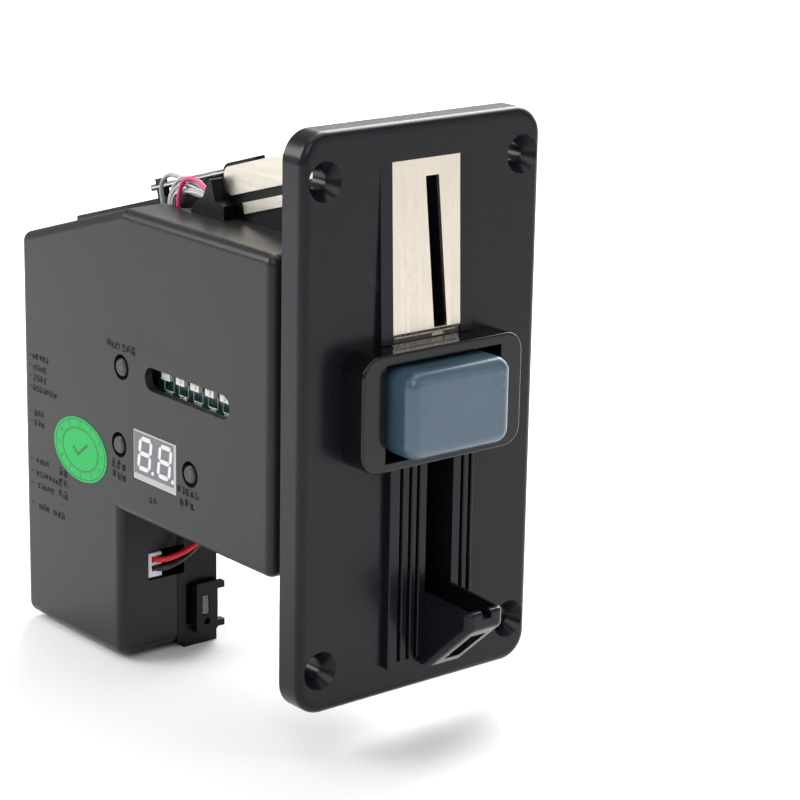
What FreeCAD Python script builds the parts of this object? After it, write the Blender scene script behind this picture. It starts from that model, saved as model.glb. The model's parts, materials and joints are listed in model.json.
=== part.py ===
# Panel-mounted coin acceptor, built as separate pieces.
# Millimetres. +X is right seen from the front, +Y runs into the cabinet, +Z is up.
# The origin is the middle of the front plate's rear face, which seats on the cabinet panel.
import FreeCAD, Part
import Sketcher
import math
import os
import re

doc = FreeCAD.newDocument("coin_acceptor")
dims = doc.addObject("Spreadsheet::Sheet", "dims")

sizes = {
    # front plate and its four panel screws
    "plateWide": 65, "plateTall": 127, "plateThick": 7.1, "plateRound": 2, "plateCorner": 6.5,
    "screwWide": 53.7, "screwTall": 106.7, "screwBore": 4.4, "screwSink": 8.6,
    "backRib": 2.6, "backDepth": 3.2,
    # coin path: slope down to the rear, lean to the left, slit
    "slope": 16.7, "lean": 3.8, "slotWide": 3.6, "slotTall": 32.9, "slotFoot": 18.7, "slotX": 1.95, "rampFoot": 19.3,
    # rail and metal bezel around the slit
    "railWide": 25, "railTop": 55.5, "railRise": 1.4, "bezelWide": 18.6, "bezelThick": 1,
    "sillTall": 2,
    # button housing, its well and the button
    "hoodWide": 44, "hoodLow": -9.1, "hoodHigh": 16.5, "hoodReach": 7.4, "hoodCorner": 4.5,
    "wellWide": 31.8, "wellLow": -7.2, "wellHigh": 14.3, "wellFloor": 1.5, "skirt": 1.6,
    "buttonGap": 1.15, "buttonReach": 6.3, "buttonDeep": 12.6, "buttonSide": 1.8,
    "buttonWall": 1.6, "buttonTravel": 4.5, "frameThick": 1.5, "rodWide": 3.3, "rodTall": 3.5,
    "rodOut": 3.7, "rodZ": 3.4, "rodTip": 8.1, "camRun": 1.55, "camReach": 4.4,
    # fluted rail, return channel and return cup
    "fluteLeft": -9.6, "fluteRight": 13.9, "fluteFoot": -56.6, "fluteRise": 1.8,
    "grooveWide": 0.8, "grooveDepth": 1.3, "grooveOne": -6.9, "grooveTwo": -4.4,
    "grooveThree": -2.2, "grooveFour": 10.2, "grooveFive": 12.4,
    "channelX": 4.25, "channelWide": 7.5, "channelTop": -12, "channelFoot": -55.6,
    "cupWide": 10.2, "cupReach": 16.4, "cupRim": -41.2, "cupFoot": -57, "lipTall": 3.8,
    "cupWall": 1.3, "notchWide": 2.5, "notchDepth": 1.7,
    # side cover and chassis
    "coverX": -30, "seamX": -14, "wallX": -2.6, "wall": 2, "seamGap": 0.15, "stepX": -12.2,
    "bodyBack": 105.7, "coverFront": 6.5, "coverTop": 35.6, "apexY": 63, "rearTop": 22.4,
    "underside": -36.3, "legFront": 64.5, "legFoot": -72.1, "chassisDrop": 1.4,
    "ridgeFront": 56.2, "coverRound": 2.6, "postBore": 2.5, "postWide": 6.4,
    "postFrontY": 12.2, "postRearIn": 8.3, "postHighZ": 28.4, "postRearZ": 17.6,
    "postLowZ": -29.2, "postLegZ": -64, "headWide": 5, "headTall": 1.2,
    # door, deck and hinge pin, along the sloped path
    "deckThick": 2, "deckFront": 9, "deckRear": 88, "deckTop": 38.2, "deckFoot": -9,
    "guideRear": 42.3, "doorThick": 2, "doorGap": 0.4, "doorRear": 79, "doorTop": 38.9, "doorFoot": -6,
    "ledgeTall": 3, "fitGap": 0.3, "pinWide": 1.6, "pinFit": 0.05, "pinP": -1.1, "pinZ": 40.9,
    "pinRear": 90.5, "earLong": 2.6, "knuckleWide": 3.8, "knuckleOne": 14, "knuckleTwo": 46,
    "knuckleLong": 12,
    # gate, solenoid and their linkage
    "gateY": 66.5, "gateZ": -15, "gateLong": 24, "gateTilt": 30, "gateLeft": 3, "gateRight": 7.6,
    "gateThick": 1.6, "hubWide": 4.6, "shaftWide": 3, "crankLong": 10, "crankTilt": 17.5,
    "crankX": -6.4, "crankThick": 2, "crankPin": 2, "forkGap": 0.5,
    "coilX": -10.4, "solenoidFront": 30, "solenoidLong": 24, "solenoidTall": 12,
    "solenoidWall": 1.5, "coilWide": 8.6, "plungerWide": 4.6, "plungerFit": 0.1,
    # chutes behind the plate
    "chuteWall": 1.5, "chuteRear": 64.3, "chuteRise": 18, "acceptFoot": -50, "acceptTop": 20,
    # electronics
    "boardX": -25.5, "boardThick": 1.6, "boardFront": 17, "boardTop": 12.5, "boardLow": -33,
    "boardLegZ": -52, "boardLegY": 68, "boardGap": 1.2,
    "windowY": 37.8, "windowLong": 32.3, "windowZ": -1.3, "windowTall": 5.5,
    "displayY": 50.4, "displayLong": 16.8, "displayZ": -20.3, "displayTall": 11.8,
    "keyHole": 6, "keyStem": 4.2, "keyBase": 6, "keyReach": 0.25, "keyTravel": 0.3,
    "modeKeyY": 63.4, "modeKeyZ": -1.1, "addKeyY": 64.6, "minusKeyY": 36.6, "lowKeyZ": -19.8,
    "ledPitch": 5.6, "ledLong": 3.2, "ledTall": 2.2, "ledShift": 1.7, "ledRise": 0.6,
    "sensorStart": 28, "sensorPitch": 18, "sensorZ": 14, "coreWide": 13, "coreDeep": 4.4,
    "socketZ": -8, "socketTall": 12.4, "socketX": -20.7, "socketWide": 6, "pinPitch": 2.54,
    "contactZ": -22.6, "speedZ": -38, "setZ": -46.8, "knobTall": 2, "knobTravel": 2,
    "lampX": -20.1, "lampZ": -50.85, "nicheLeft": -22.2, "nicheRight": -12,
    "nicheLow": -54.6, "nicheHigh": -47.4,
    "stickerY": 80.8, "stickerZ": -25, "stickerLong": 22.4, "stickerTall": 15.4,
    "lampWide": 1.4, "leadWide": 1,
}
for row, (alias, size) in enumerate(sizes.items(), 1):
    dims.set("A%d" % row, alias)
    dims.set("B%d" % row, str(size))
    dims.setAlias("B%d" % row, alias)
doc.recompute()

mathNames = ("sin", "cos", "tan", "sqrt", "abs")
nodes = []      # objects that are written out, one file each


def bound(text):
    """an expression on the sheet's cells, from one that uses their names alone"""
    return re.sub(r"[A-Za-z]\w*",
                  lambda found: found.group(0) if found.group(0) in mathNames
                  else "dims." + found.group(0), str(text))


def number(text):
    return float(dims.evalExpression(bound(text)))


def minus(text):
    return "-(%s)" % text


# ---- loops for sketches: every corner is tied to the sheet ----

def rectangle(u0, u1, v0, v1):
    return [(u0, v0), (u1, v0), (u1, v1), (u0, v1)]


def around(u, v, wide, tall):
    return rectangle("%s-(%s)/2" % (u, wide), "%s+(%s)/2" % (u, wide),
                     "%s-(%s)/2" % (v, tall), "%s+(%s)/2" % (v, tall))


def disc(u, v, wide):
    return {"u": u, "v": v, "wide": wide}


def tie(sketch, kind, places, text):
    index = sketch.addConstraint(Sketcher.Constraint(kind, *places, number(text)))
    sketch.setExpression("Constraints[%d]" % index, bound(text))


def addLoop(sketch, loop):
    first = sketch.GeometryCount
    if isinstance(loop, dict):
        centre = FreeCAD.Vector(number(loop["u"]), number(loop["v"]), 0)
        circle = Part.Circle(centre, FreeCAD.Vector(0, 0, 1), number(loop["wide"]) / 2)
        sketch.addGeometry(circle, False)
        tie(sketch, "DistanceX", (-1, 1, first, 3), loop["u"])
        tie(sketch, "DistanceY", (-1, 1, first, 3), loop["v"])
        tie(sketch, "Diameter", (first,), loop["wide"])
        return
    corners = [FreeCAD.Vector(number(u), number(v), 0) for u, v in loop]
    count = len(corners)
    for index, corner in enumerate(corners):
        sketch.addGeometry(Part.LineSegment(corner, corners[(index + 1) % count]), False)
    for index in range(count):
        following = first + (index + 1) % count
        sketch.addConstraint(Sketcher.Constraint("Coincident", first + index, 2, following, 1))
    for index, (u, v) in enumerate(loop):
        tie(sketch, "DistanceX", (-1, 1, first + index, 1), u)
        tie(sketch, "DistanceY", (-1, 1, first + index, 1), v)


class Piece:
    """A PartDesign body that is padded, pocketed, rounded and bevelled between two levels"""

    # for each sketch plane: sign of its normal along the world axis
    normals = {"XY": 1, "XZ": -1, "YZ": 1}

    def __init__(self, name, placement=None):
        self.body = doc.addObject("PartDesign::Body", name)
        self.body.Label = name
        if placement:
            self.body.Placement = placement
        nodes.append(self.body)

    def sketch(self, plane, level, loops):
        sketch = self.body.newObject("Sketcher::SketchObject", self.body.Name + "_sketch")
        origin = [item for item in self.body.Origin.OriginFeatures
                  if item.Role == plane + "_Plane"][0]
        sketch.AttachmentSupport = [(origin, "")]
        sketch.MapMode = "FlatFace"
        height = level if self.normals[plane] > 0 else minus(level)
        sketch.setExpression("AttachmentOffset.Base.z", bound(height))
        for loop in loops:
            addLoop(sketch, loop)
        doc.recompute()
        return sketch

    def add(self, plane, low, high, *loops):
        start = low if self.normals[plane] > 0 else high
        sketch = self.sketch(plane, start, loops)
        pad = self.body.newObject("PartDesign::Pad", self.body.Name + "_pad")
        pad.Profile = sketch
        pad.setExpression("Length", bound("(%s)-(%s)" % (high, low)))
        doc.recompute()
        return pad

    def cut(self, plane, low, high, *loops):
        before = self.body.Shape.Volume
        start = high if self.normals[plane] > 0 else low
        sketch = self.sketch(plane, start, loops)
        pocket = self.body.newObject("PartDesign::Pocket", self.body.Name + "_pocket")
        pocket.Profile = sketch
        pocket.setExpression("Length", bound("(%s)-(%s)" % (high, low)))
        doc.recompute()
        if not self.body.Shape.Volume < before - 1e-6:
            raise ValueError("%s: a pocket cuts nothing" % self.body.Label)
        return pocket

    def finish(self, kind, size, choose):
        tip = self.body.Tip
        names = ["Edge%d" % (index + 1) for index, edge in enumerate(tip.Shape.Edges)
                 if choose(edge.BoundBox, edge)]
        if not names:
            raise ValueError("%s: no edge to finish" % self.body.Label)
        feature = self.body.newObject("PartDesign::" + kind, self.body.Name + "_edge")
        feature.Base = (tip, names)
        feature.setExpression("Radius" if kind == "Fillet" else "Size", bound(size))
        doc.recompute()
        return feature

    def round(self, radius, choose):
        return self.finish("Fillet", radius, choose)

    def bevel(self, size, choose):
        return self.finish("Chamfer", size, choose)


def near(first, second):
    return abs(first - second) < 0.01


def edgeAlong(axis):
    """chooses straight edges that run along one axis"""
    def choose(box, edge):
        spans = {"X": box.XLength, "Y": box.YLength, "Z": box.ZLength}
        return all((spans[name] > 0.05) == (name == axis) for name in spans)
    return choose


# ---- primitives tied to the sheet ----

def block(name, x, y, z, keep=True):
    box = doc.addObject("Part::Box", name)
    box.Label = name
    for side, axis, (low, high) in (("Length", "x", x), ("Width", "y", y), ("Height", "z", z)):
        box.setExpression(side, bound("(%s)-(%s)" % (high, low)))
        box.setExpression("Placement.Base." + axis, bound(low))
    if keep:
        nodes.append(box)
    return box


turns = {"X": FreeCAD.Rotation(FreeCAD.Vector(0, 1, 0), 90),
         "Y": FreeCAD.Rotation(FreeCAD.Vector(1, 0, 0), -90),
         "Z": FreeCAD.Rotation()}


def rod(name, axis, low, high, across, up, wide, keep=True):
    """a round bar along an axis; across and up are its centre on the other two axes"""
    bar = doc.addObject("Part::Cylinder", name)
    bar.Label = name
    bar.Placement = FreeCAD.Placement(FreeCAD.Vector(), turns[axis])
    bar.setExpression("Radius", bound("(%s)/2" % wide))
    bar.setExpression("Height", bound("(%s)-(%s)" % (high, low)))
    others = [name for name in "XYZ" if name != axis]
    for where, text in zip([axis] + others, (low, across, up)):
        bar.setExpression("Placement.Base." + where.lower(), bound(text))
    if keep:
        nodes.append(bar)
    return bar


def ring(name, axis, low, high, across, up, wide, bore, keep=True):
    outer = rod(name + "_outer", axis, low, high, across, up, wide, False)
    inner = rod(name + "_bore", axis, low + "-1", high + "+1", across, up, bore, False)
    return carve(name, outer, inner, keep)


def fuse(name, parts, keep=True):
    whole = doc.addObject("Part::MultiFuse", name)
    whole.Label = name
    whole.Shapes = parts
    if keep:
        nodes.append(whole)
    return whole


def carve(name, base, tool, keep=True):
    whole = doc.addObject("Part::Cut", name)
    whole.Label = name
    whole.Base = base
    whole.Tool = tool
    if keep:
        nodes.append(whole)
    return whole


def group(name, parts):
    """identical pieces that share one node"""
    whole = doc.addObject("Part::Compound", name)
    whole.Label = name
    whole.Links = parts
    nodes.append(whole)
    return whole


def turned(part, frame):
    """moves a primitive from a frame's own coordinates to the model's"""
    holder = doc.addObject("Part::Feature", part.Name + "_placed")
    doc.recompute()
    holder.Shape = part.Shape
    holder.Placement = frame.multiply(part.Placement)
    return holder


# The coin path slopes down to the rear and leans left. Its frame starts at the slit's foot:
# X is across the coin, Y runs down the path and Z stands on the ramp.
pathStart = FreeCAD.Vector(number("slotX"), number("-plateThick"), number("rampFoot"))
slopeTurn = FreeCAD.Rotation(FreeCAD.Vector(1, 0, 0), -number("slope"))
leanTurn = FreeCAD.Rotation(FreeCAD.Vector(0, 1, 0), -number("lean"))
pathFrame = FreeCAD.Placement(pathStart, slopeTurn.multiply(leanTurn))
ridgeFrame = FreeCAD.Placement(FreeCAD.Vector(0, pathStart.y, pathStart.z), slopeTurn)


# ---- front plate ----

def frontPlate():
    plate = Piece("front_plate")
    face = "-plateThick"
    plate.add("XZ", face, "0", around("0", "0", "plateWide", "plateTall"))
    plate.round("plateCorner", edgeAlong("Y"))
    plate.round("plateRound", lambda box, edge: near(box.YMin, number(face))
                and near(box.YMax, number(face)))
    # rail beside the slit, flush at its top and proud at its foot
    railFoot = "hoodHigh+0.2"
    plate.add("YZ", "-railWide/2", "railWide/2",
              [(face, "railTop"), (face + "+1", "railTop"), (face + "+1", railFoot),
               (face + "-railRise", railFoot)])
    # seat of the metal bezel, parallel to the rail's face
    plate.cut("YZ", "-bezelWide/2", "bezelWide/2",
              [(face + "+bezelThick", "railTop"), (face + "-1", "railTop"),
               (face + "-railRise-1", railFoot + "-1"),
               (face + "-railRise+bezelThick", railFoot + "-1")])
    plate.cut("XZ", "-20", "1", slitOutline("1.4"))
    # fluted rail with the return channel
    rise = face + "-fluteRise"
    plate.add("XZ", rise, face + "+1",
              rectangle("fluteLeft", "fluteRight", "fluteFoot", "hoodLow-0.2"))
    grooves = ["grooveOne", "grooveTwo", "grooveThree", "grooveFour", "grooveFive"]
    plate.cut("XZ", rise + "-1", rise + "+grooveDepth",
              *[rectangle(start, start + "+grooveWide", "fluteFoot+1.2", "hoodLow")
                for start in grooves])
    plate.round("0.3", lambda box, edge: edgeAlong("Z")(box, edge) and near(box.YMin, number(rise)))
    left, right = "channelX-channelWide/2", "channelX+channelWide/2"
    plate.cut("XZ", rise + "-1", face + "+2.5",
              rectangle(left, right, "channelFoot", "hoodLow+1"))
    plate.cut("XZ", rise + "-1", "1", rectangle(left, right, "channelFoot", "channelTop"))
    # opening for the button's well
    plate.cut("XZ", "-20", "1",
              around("0", "(wellLow+wellHigh)/2", "wellWide+2*skirt+0.3",
                     "wellHigh-wellLow+2*skirt+0.3"))
    # ribbed recesses in the back, right of the body
    inner, outer = "railWide/2+6", "plateWide/2-backRib"
    bays = [("-47", "-17.5"), ("-15", "15"), ("17.5", "47")]
    plate.cut("XZ", "-backDepth", "1", *[rectangle(inner, outer, low, high) for low, high in bays])
    # countersunk panel screw holes
    corners = [(x, z) for x in ("-screwWide/2", "screwWide/2")
               for z in ("-screwTall/2", "screwTall/2")]
    sketch = plate.sketch("XZ", face, [disc(x, z, "screwBore") for x, z in corners])
    hole = plate.body.newObject("PartDesign::Hole", "panel_holes")
    hole.Profile = sketch
    doc.recompute()
    hole.ThreadType = "None"
    hole.DepthType = "ThroughAll"
    hole.HoleCutType = "Countersink"
    hole.HoleCutCountersinkAngle = 75
    hole.setExpression("Diameter", bound("screwBore"))
    hole.setExpression("HoleCutDiameter", bound("screwSink"))
    doc.recompute()
    # tapped posts for the four screws that hold the body
    plate.cut("XZ", "-4.5", "1", *[disc(x, z, "postBore") for x, z in bodyScrews])


def slitOutline(margin="0"):
    """the leaning coin slit in the plate's plane, with a margin all round"""
    foot, top = "slotFoot-(%s)" % margin, "slotFoot+slotTall+(%s)" % margin
    left = "slotX-(%s)" % margin
    shift = "slotTall*tan(lean)"
    return [(left, foot), (left + "+slotWide+2*(%s)" % margin, foot),
            (left + "+slotWide+2*(%s)-" % margin + shift, top), (left + "-" + shift, top)]


bodyScrews = [("-22", "26"), ("-22", "-26"), ("13", "-22"), ("13", "-47")]


def slotBezel():
    bezel = Piece("slot_bezel")
    face = "-plateThick"
    top, foot = "railTop-0.05", "slotFoot-0.1"
    # front face follows the rail; the sill turns back below the slit
    bezel.add("YZ", "-bezelWide/2+0.05", "bezelWide/2-0.05",
              [(face + "+0.05", top), (face + "+bezelThick-0.1", top),
               (face + "-railRise+bezelThick-0.02", foot),
               (face + "-railRise+bezelThick-0.02", foot + "-sillTall"),
               (face + "-railRise+0.55", foot + "-sillTall"),
               (face + "-railRise+0.1", foot)])
    bezel.cut("XZ", "-20", "1", slitOutline())
    # score line and small notch in the sill
    bezel.cut("XZ", "-20", face + "-railRise+0.75",
              rectangle("-bezelWide/2+0.6", "bezelWide/2-1", foot + "-1", foot + "-0.7"))
    bezel.cut("XZ", "-20", face + "-railRise+0.75",
              rectangle("slotX-0.2", "slotX+slotWide-0.4", foot + "-1.7", foot + "-1"))


# ---- button housing, button and lamp ----

rodLeft = "slotX+slotWide+rodOut"
buttonWide = "wellWide-2*buttonSide"
buttonTall = "wellHigh-wellLow-2*buttonGap"


def buttonParts():
    face = "-plateThick"
    front = face + "-hoodReach"
    middle = "(wellLow+wellHigh)/2"
    hood = Piece("button_surround")
    hood.add("XZ", front, face,
             rectangle("-hoodWide/2", "hoodWide/2", "hoodLow", "hoodHigh"))
    hood.round("hoodCorner", edgeAlong("Y"))
    hood.round("0.6", lambda box, edge: near(box.YMin, number(front))
               and near(box.YMax, number(front)))
    hood.add("XZ", face, "0", around("0", middle, "wellWide+2*skirt", "wellHigh-wellLow+2*skirt"))
    hood.cut("XZ", front + "-1", "-wellFloor",
             rectangle("-wellWide/2", "wellWide/2", "wellLow", "wellHigh"))
    # floor holes: lamp holder and the rod that opens the return door
    hood.cut("XZ", "-wellFloor-1", "1", disc("0", middle, "6"),
             rectangle(rodLeft + "-fitGap", rodLeft + "+rodWide+fitGap", "rodZ-fitGap",
                       "rodZ+rodTall+fitGap"))

    cap = Piece("button_cap")
    tip = front + "-buttonReach"
    rear = tip + "+buttonDeep"
    cap.add("XZ", tip, rear, around("0", middle, buttonWide, buttonTall))
    cap.round("3.4", edgeAlong("Y"))
    cap.round("2.8", lambda box, edge: near(box.YMin, number(tip)) and near(box.YMax, number(tip)))
    cap.cut("XZ", tip + "+buttonWall+0.5", rear + "+1",
            around("0", middle, buttonWide + "-2*buttonWall", buttonTall + "-2*buttonWall"))

    frame = Piece("button_frame")
    frame.add("XZ", rear + "-frameThick", rear,
              around("0", middle, buttonWide + "-2*buttonWall-0.2", buttonTall + "-2*buttonWall-0.2"))
    frame.cut("XZ", rear + "-10", rear + "+1", disc("0", middle, "10.6"))
    end, drop = "rodTip", "rodWide/camRun"
    frame.add("XY", "rodZ", "rodZ+rodTall",
              [(rodLeft, rear), (rodLeft + "+rodWide", rear),
               (rodLeft + "+rodWide", "%s-%s" % (end, drop)), (rodLeft, end)])

    ring("button_spring", "Y", rear + "+0.05", "-wellFloor-0.05", "0", middle, "13", "11.4")
    base = rod("holder_base", "Y", "-wellFloor-3.6", "-wellFloor", "0", middle, "9", False)
    stem = rod("holder_stem", "Y", "-wellFloor-0.1", "-0.2", "0", middle, "5.6", False)
    socket = rod("holder_bore", "Y", "-wellFloor-4", "-wellFloor-1.5", "0", middle, "5.2", False)
    carve("lamp_holder", fuse("holder_body", [base, stem], False), socket)
    bulb = rod("bulb_body", "Y", "-wellFloor-7.2", "-wellFloor-1.5", "0", middle, "5", False)
    dome = doc.addObject("Part::Sphere", "bulb_dome")
    dome.setExpression("Radius", bound("2.5"))
    dome.setExpression("Placement.Base.y", bound("-wellFloor-7.2"))
    dome.setExpression("Placement.Base.z", bound(middle))
    fuse("button_lamp", [bulb, dome])


# ---- return cup below the channel ----

def returnCup():
    cup = Piece("return_cup")
    seat = "-plateThick-fluteRise"
    tip = seat + "-cupReach"
    left, right = "channelX+0.15-cupWide/2", "channelX+0.15+cupWide/2"
    cup.add("YZ", left, right,
            [(seat, "cupRim+0.8"), (tip, "cupRim"), (tip, "cupRim-lipTall"),
             (seat + "-3", "cupFoot"), (seat, "cupFoot")])
    cup.round("2", lambda box, edge: edgeAlong("Z")(box, edge) and near(box.YMin, number(tip)))
    for radius, level in (("1.6", "cupRim-lipTall"), ("0.9", "cupRim")):
        cup.round(radius, lambda box, edge: near(box.ZMin, number(level))
                  and near(box.ZMax, number(level)) and box.XLength > 2)
    # hollow that catches the coins, deepest at the plate
    cup.cut("YZ", left + "+cupWall", right + "-cupWall",
            [(seat + "+1", "cupRim+2"), (tip + "+1.6", "cupRim+2"), (tip + "+1.6", "cupRim-2"),
             (seat + "+1", "cupFoot+2.6")])
    cup.cut("XZ", tip + "-1", tip + "+2.4",
            rectangle("channelX+0.15-notchWide/2", "channelX+0.15+notchWide/2",
                      "cupRim-notchDepth", "cupRim+2"))
    # relief in the underside
    cup.cut("YZ", left + "+2.9", right + "-2.9",
            [(seat + "-1.6", "cupFoot-1"), (tip + "+2.6", "cupRim-lipTall-3"),
             (tip + "+2.6", "cupRim-lipTall+0.3"), (seat + "-3.2", "cupFoot+1.3"),
             (seat + "-1.6", "cupFoot+1.3")])


# ---- side cover and chassis ----

def bodyOutline(front, top, rear, low, leg, foot, back):
    return [(front, top[0]), (top[1], top[0]), (back, rear), (back, foot), (leg, foot),
            (leg, low), (front, low)]


ridgeRear = "ridgeFront-bodyBack*tan(slope)"
coverPosts = [("postFrontY", "postHighZ"), ("bodyBack-postRearIn", "postRearZ"),
              ("postFrontY", "postLowZ"), ("bodyBack-postRearIn", "postLegZ")]
boardRear = "bodyBack-wall-boardGap"
boardPosts = [("boardFront+5", "boardTop-4"), ("boardFront+5", "boardLow+4"),
              (boardRear + "-9", "boardTop-4"), (boardRear + "-24", "boardLegZ+5")]
boardBack = "boardX+boardThick"


def sideCover():
    cover = Piece("side_cover")
    edge = "seamX-seamGap"
    cover.add("YZ", "coverX", edge,
              bodyOutline("coverFront", ("coverTop", "apexY"), "rearTop", "underside",
                          "legFront", "legFoot", "bodyBack"))
    outer = number("coverX")
    cover.round("coverRound", lambda box, edge: edgeAlong("X")(box, edge)
                and not near(box.ZMin, number("underside")) or
                edgeAlong("X")(box, edge) and near(box.YMin, number("coverFront")))
    cover.round("coverRound-0.4", lambda box, edge: near(box.XMin, outer) and near(box.XMax, outer)
                and not (near(box.ZMin, number("underside")) and near(box.ZMax, box.ZMin)))
    cover.cut("YZ", "coverX+wall", edge + "+1",
              bodyOutline("coverFront+wall", ("coverTop-wall", "apexY-0.3"), "rearTop-wall-0.5",
                          "underside+wall", "legFront+wall", "legFoot+wall", "bodyBack-wall"))
    # posts for the cover screws and for the board
    cover.add("YZ", "coverX+wall-0.2", edge, *[disc(y, z, "postWide") for y, z in coverPosts])
    cover.cut("YZ", "coverX+wall+2", edge + "+1", *[disc(y, z, "postBore") for y, z in coverPosts])
    cover.add("YZ", "coverX+wall-0.2", "boardX", *[disc(y, z, "5.4") for y, z in boardPosts])
    cover.cut("YZ", "coverX+wall", "boardX+1", *[disc(y, z, "postBore") for y, z in boardPosts])
    # window over the status lights, display opening and three keys
    outside = "coverX-1"
    window = cover.cut("YZ", outside, "coverX+wall+0.5",
                       around("windowY", "windowZ", "windowLong", "windowTall"))
    ends = [number("windowY-windowLong/2"), number("windowY+windowLong/2")]
    cover.round("windowTall/2-0.05",
                lambda box, edge: edgeAlong("X")(box, edge) and box.XMax < number("coverX+wall+0.1")
                and any(near(box.YMin, end) for end in ends)
                and abs(box.ZMin - number("windowZ")) < number("windowTall"))
    keys = [("modeKeyY", "modeKeyZ"), ("addKeyY", "lowKeyZ"), ("minusKeyY", "lowKeyZ")]
    cover.cut("YZ", outside, "coverX+wall+0.5",
              around("displayY", "displayZ", "displayLong+0.3", "displayTall+0.3"),
              *[disc(y, z, "keyHole") for y, z in keys])
    # openings in the back: plug socket, two slide switches and the set key
    back = ("bodyBack-wall-0.5", "bodyBack+1")
    cover.cut("XZ", *back, around("socketX", "socketZ", "socketWide+0.3", "socketTall+0.3"),
              around("socketX", "contactZ+knobTravel/2", "2.6", "knobTall+knobTravel+0.8"),
              around("socketX", "speedZ", "2.6", "knobTall+2*knobTravel+0.8"),
              disc("socketX", "setZ", "keyStem+0.4"))
    # niche for the lamp socket in the leg, and the slot where the sensor leads go in
    cover.cut("XZ", "legFront-1", "legFront+wall+0.5",
              rectangle("nicheLeft", "seamX+1", "nicheLow", "nicheHigh"))
    cover.cut("XY", "coverTop-wall-3", "coverTop+2",
              rectangle("seamX-4", "seamX+1", "apexY-7.4", "apexY+7.4"))


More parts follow.
